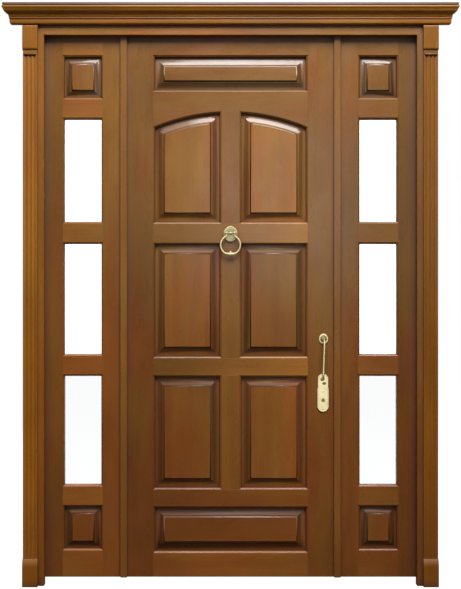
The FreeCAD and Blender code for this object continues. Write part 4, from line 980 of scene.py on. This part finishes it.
def make_inside_furniture():
    """Plate and a rounded lever on the leaf's back."""
    low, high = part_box("inside_plate")
    door = low[1]
    centre_x = (low[0] + high[0]) / 2
    shape = bmesh.new()
    plate(shape, "inside_plate", door, BACK)
    for level in (low[2] + BACK_SCREW_FOOT, high[2] - BACK_SCREW_DROP):
        screw(shape, Vector((centre_x, high[1], level)), BACK)
    add_piece("back_lock_plate", shape, "door_leaf", brass("brass_back_plate", 26), "inside_plate")

    low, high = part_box("inside_lever")
    level = (low[2] + high[2]) / 2
    bar_depth = high[1] - LEVER_HALF_DEPTH
    neck = Vector((centre_x, door, level))
    shape = bmesh.new()
    turned(shape, neck, BACK, LEVER_COLLAR_STATIONS, 32)
    corner = Vector((centre_x - LEVER_TURN, bar_depth - LEVER_TURN, level))
    path = [neck + BACK * LEVER_NECK_START, neck + BACK * (bar_depth - door - LEVER_TURN)]
    path += arc(corner, RIGHT, BACK, LEVER_TURN, math.radians(8), math.radians(82), LEVER_TURN_POINTS)
    sizes = [(LEVER_NECK_RADIUS, LEVER_NECK_RADIUS)] * 2
    sizes += [(LEVER_NECK_RADIUS, LEVER_TURN_DEPTH)] * LEVER_TURN_POINTS
    reach = corner.x - low[0]
    for share, half_height, half_depth in LEVER_GRIP:
        path.append(corner + BACK * LEVER_TURN - RIGHT * (reach * share))
        sizes.append((half_height, half_depth))
    bar(shape, path, UP, sizes, 24)
    add_piece("lever_handle", shape, "door_leaf", brass("brass_lever", 27), "inside_lever")


def make_hinge_tips():
    """Turned tips over and under the knuckles of each hinge."""
    low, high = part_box("frame_hinge_leaves")
    knuckle_x = (low[0] + high[0]) / 2
    knuckle_y = high[1] - HINGE_RADIUS
    reach = HINGE_LENGTH / 2
    shape = bmesh.new()
    for level in (low[2] + reach, (low[2] + high[2]) / 2, high[2] - reach):
        for side in (-1, 1):
            place = Vector((knuckle_x, knuckle_y, level + side * reach))
            turned(shape, place, UP * side, HINGE_TIP_STATIONS, 20)
    add_piece("hinge_tips", shape, "frame", brass("brass_hinge_tips", 28))


# Beads on the casings

def make_capital_beads():
    """Short half-round bead across each casing, under its capital block, darkened as painted shade."""
    for seed, side in enumerate(("left", "right"), start=50):
        low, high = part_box(side + "_casing")
        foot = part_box(side + "_capital_block")[0][2]
        middle = Vector(((low[0] + high[0]) / 2, low[1], foot - BEAD_DROP))
        reach = (high[0] - low[0]) / 2 - BEAD_INSET
        path = []
        sizes = []
        for place, share in BEAD_STATIONS:
            path.append(middle + RIGHT * (reach * place))
            sizes.append((BEAD_HALF_HEIGHT * share, BEAD_PROUD * share))
        shape = bmesh.new()
        bar(shape, path, UP, sizes, 20)
        material = wood(side + "_capital_block", "X", seed, GOLDEN_WOOD, BEAD_SHADE_TONES)
        add_piece(side + "_capital_bead", shape, "frame", material, slot="casing_wood")


# Camera, floor, world and lamps

def aim(item, target):
    """Turn a lamp or camera to look at a point."""
    direction = target - item.location
    item.rotation_euler = direction.to_track_quat("-Z", "Y").to_euler()


def make_camera():
    """Level camera on the door's centre line."""
    data = bpy.data.cameras.new("camera")
    data.sensor_width = SENSOR
    data.lens = FOCAL_PIXELS * SENSOR / IMAGE_HEIGHT
    camera = bpy.data.objects.new("camera", data)
    camera.location = (DOOR_CENTRE, -CAMERA_DISTANCE, CAMERA_HEIGHT)
    camera.rotation_euler = (math.pi / 2, 0.0, 0.0)
    bpy.context.scene.collection.objects.link(camera)
    bpy.context.scene.camera = camera


def area_light(name, place, target, size, power):
    """Square soft light."""
    data = bpy.data.lights.new(name, "AREA")
    data.shape = "SQUARE"
    data.size = size
    data.energy = power
    lamp = bpy.data.objects.new(name, data)
    lamp.location = place
    bpy.context.scene.collection.objects.link(lamp)
    aim(lamp, target)
    return lamp


def share_lights():
    """Steep key light for the woodwork, and a broad one for the polished fittings."""
    key = area_light("key_light", KEY_PLACE, KEY_TARGET, KEY_SIZE, KEY_POWER)
    broad = area_light("brass_light", BRASS_LIGHT_PLACE, PIN_PLACE, BRASS_LIGHT_SIZE, BRASS_LIGHT_POWER)
    woodwork = bpy.data.collections.new("woodwork")
    fittings = bpy.data.collections.new("fittings")
    for item in bpy.context.scene.objects:
        if item.type == "MESH":
            group = fittings if item in LIT_BRASS else woodwork
            group.objects.link(item)
    key.light_linking.receiver_collection = woodwork
    broad.light_linking.receiver_collection = fittings


def background_share(tree):
    """Three outputs: 1 where a ray comes from the camera, through glass, or from gloss."""
    path = tree.add("ShaderNodeLightPath")
    return [path.outputs[f"Is {kind} Ray"] for kind in ("Camera", "Transmission", "Glossy")]


def make_world():
    """White backdrop, with a dim room before the door for its gloss."""
    world = bpy.data.worlds.new("studio")
    bpy.context.scene.world = world
    tree = empty_tree(world)
    direction = tree.axes(tree.coordinate("Generated"))
    behind = tree.spread(direction["Y"], *GLOSS_BEHIND_RANGE)
    above = tree.math("MAXIMUM", tree.spread(direction["Z"], *GLOSS_LOW_RANGE, 0.0, GLOSS_LOW),
                      tree.spread(direction["Z"], *GLOSS_HIGH_RANGE, 0.0, GLOSS_HIGH))
    gloss = tree.math("MAXIMUM", behind, above)
    camera, through, glossy = background_share(tree)
    seen = tree.math("MAXIMUM", camera, through)
    level = tree.math("ADD", tree.math("MULTIPLY", glossy, gloss), seen)
    plain = tree.math("SUBTRACT", 1.0, tree.math("ADD", glossy, seen), clamp=True)
    level = tree.math("ADD", level, tree.math("MULTIPLY", plain, AMBIENT))
    background = tree.add("ShaderNodeBackground")
    background.inputs["Color"].default_value = WHITE
    tree.links.new(level, background.inputs["Strength"])
    output = tree.add("ShaderNodeOutputWorld")
    tree.links.new(background.outputs[0], output.inputs["Surface"])


def make_floor():
    """Wide pale floor that still takes the door's shadow."""
    mesh = bpy.data.meshes.new("floor")
    shape = bmesh.new()
    bmesh.ops.create_grid(shape, x_segments=4, y_segments=4, size=FLOOR_REACH)
    shape.to_mesh(mesh)
    shape.free()
    floor = bpy.data.objects.new("floor", mesh)
    bpy.context.scene.collection.objects.link(floor)
    material = bpy.data.materials.new("pale_floor")
    tree = empty_tree(material)
    matt = tree.add("ShaderNodeBsdfDiffuse")
    glow = tree.add("ShaderNodeEmission")
    camera, through, glossy = background_share(tree)
    dim = tree.math("MULTIPLY_ADD", glossy, -FLOOR_GLOSS_LOSS, 1.0)
    tree.links.new(tree.grey(tree.math("MULTIPLY", dim, FLOOR_SHADE)), matt.inputs["Color"])
    glow.inputs["Color"].default_value = WHITE
    away = tree.vector_math("DISTANCE", tree.coordinate("Object"), (DOOR_CENTRE, 0.0, 0.0))
    near = tree.spread(away, *FLOOR_FADE, FLOOR_GLOW, 1.0)
    seen = tree.math("MAXIMUM", tree.math("MULTIPLY", camera, near), through)
    tree.links.new(seen, glow.inputs["Strength"])
    both = tree.add("ShaderNodeAddShader")
    tree.links.new(matt.outputs[0], both.inputs[0])
    tree.links.new(glow.outputs[0], both.inputs[1])
    output = tree.add("ShaderNodeOutputMaterial")
    tree.links.new(both.outputs[0], output.inputs["Surface"])
    mesh.materials.append(material)


bpy.context.scene.view_settings.view_transform = "Standard"
make_camera()
make_world()
make_floor()
area_light("window_light", WINDOW_PLACE, WINDOW_TARGET, WINDOW_SIZE, WINDOW_POWER)
for number, place in enumerate(BACK_PLACES, start=1):
    area_light(f"back_light_{number}", place, BACK_TARGET, BACK_SIZE, BACK_POWER)
dress_wood()
dress_metal_and_glass()
make_rose()
make_ring()
make_pull()
make_lock()
make_inside_furniture()
make_hinge_tips()
make_capital_beads()
share_lights()
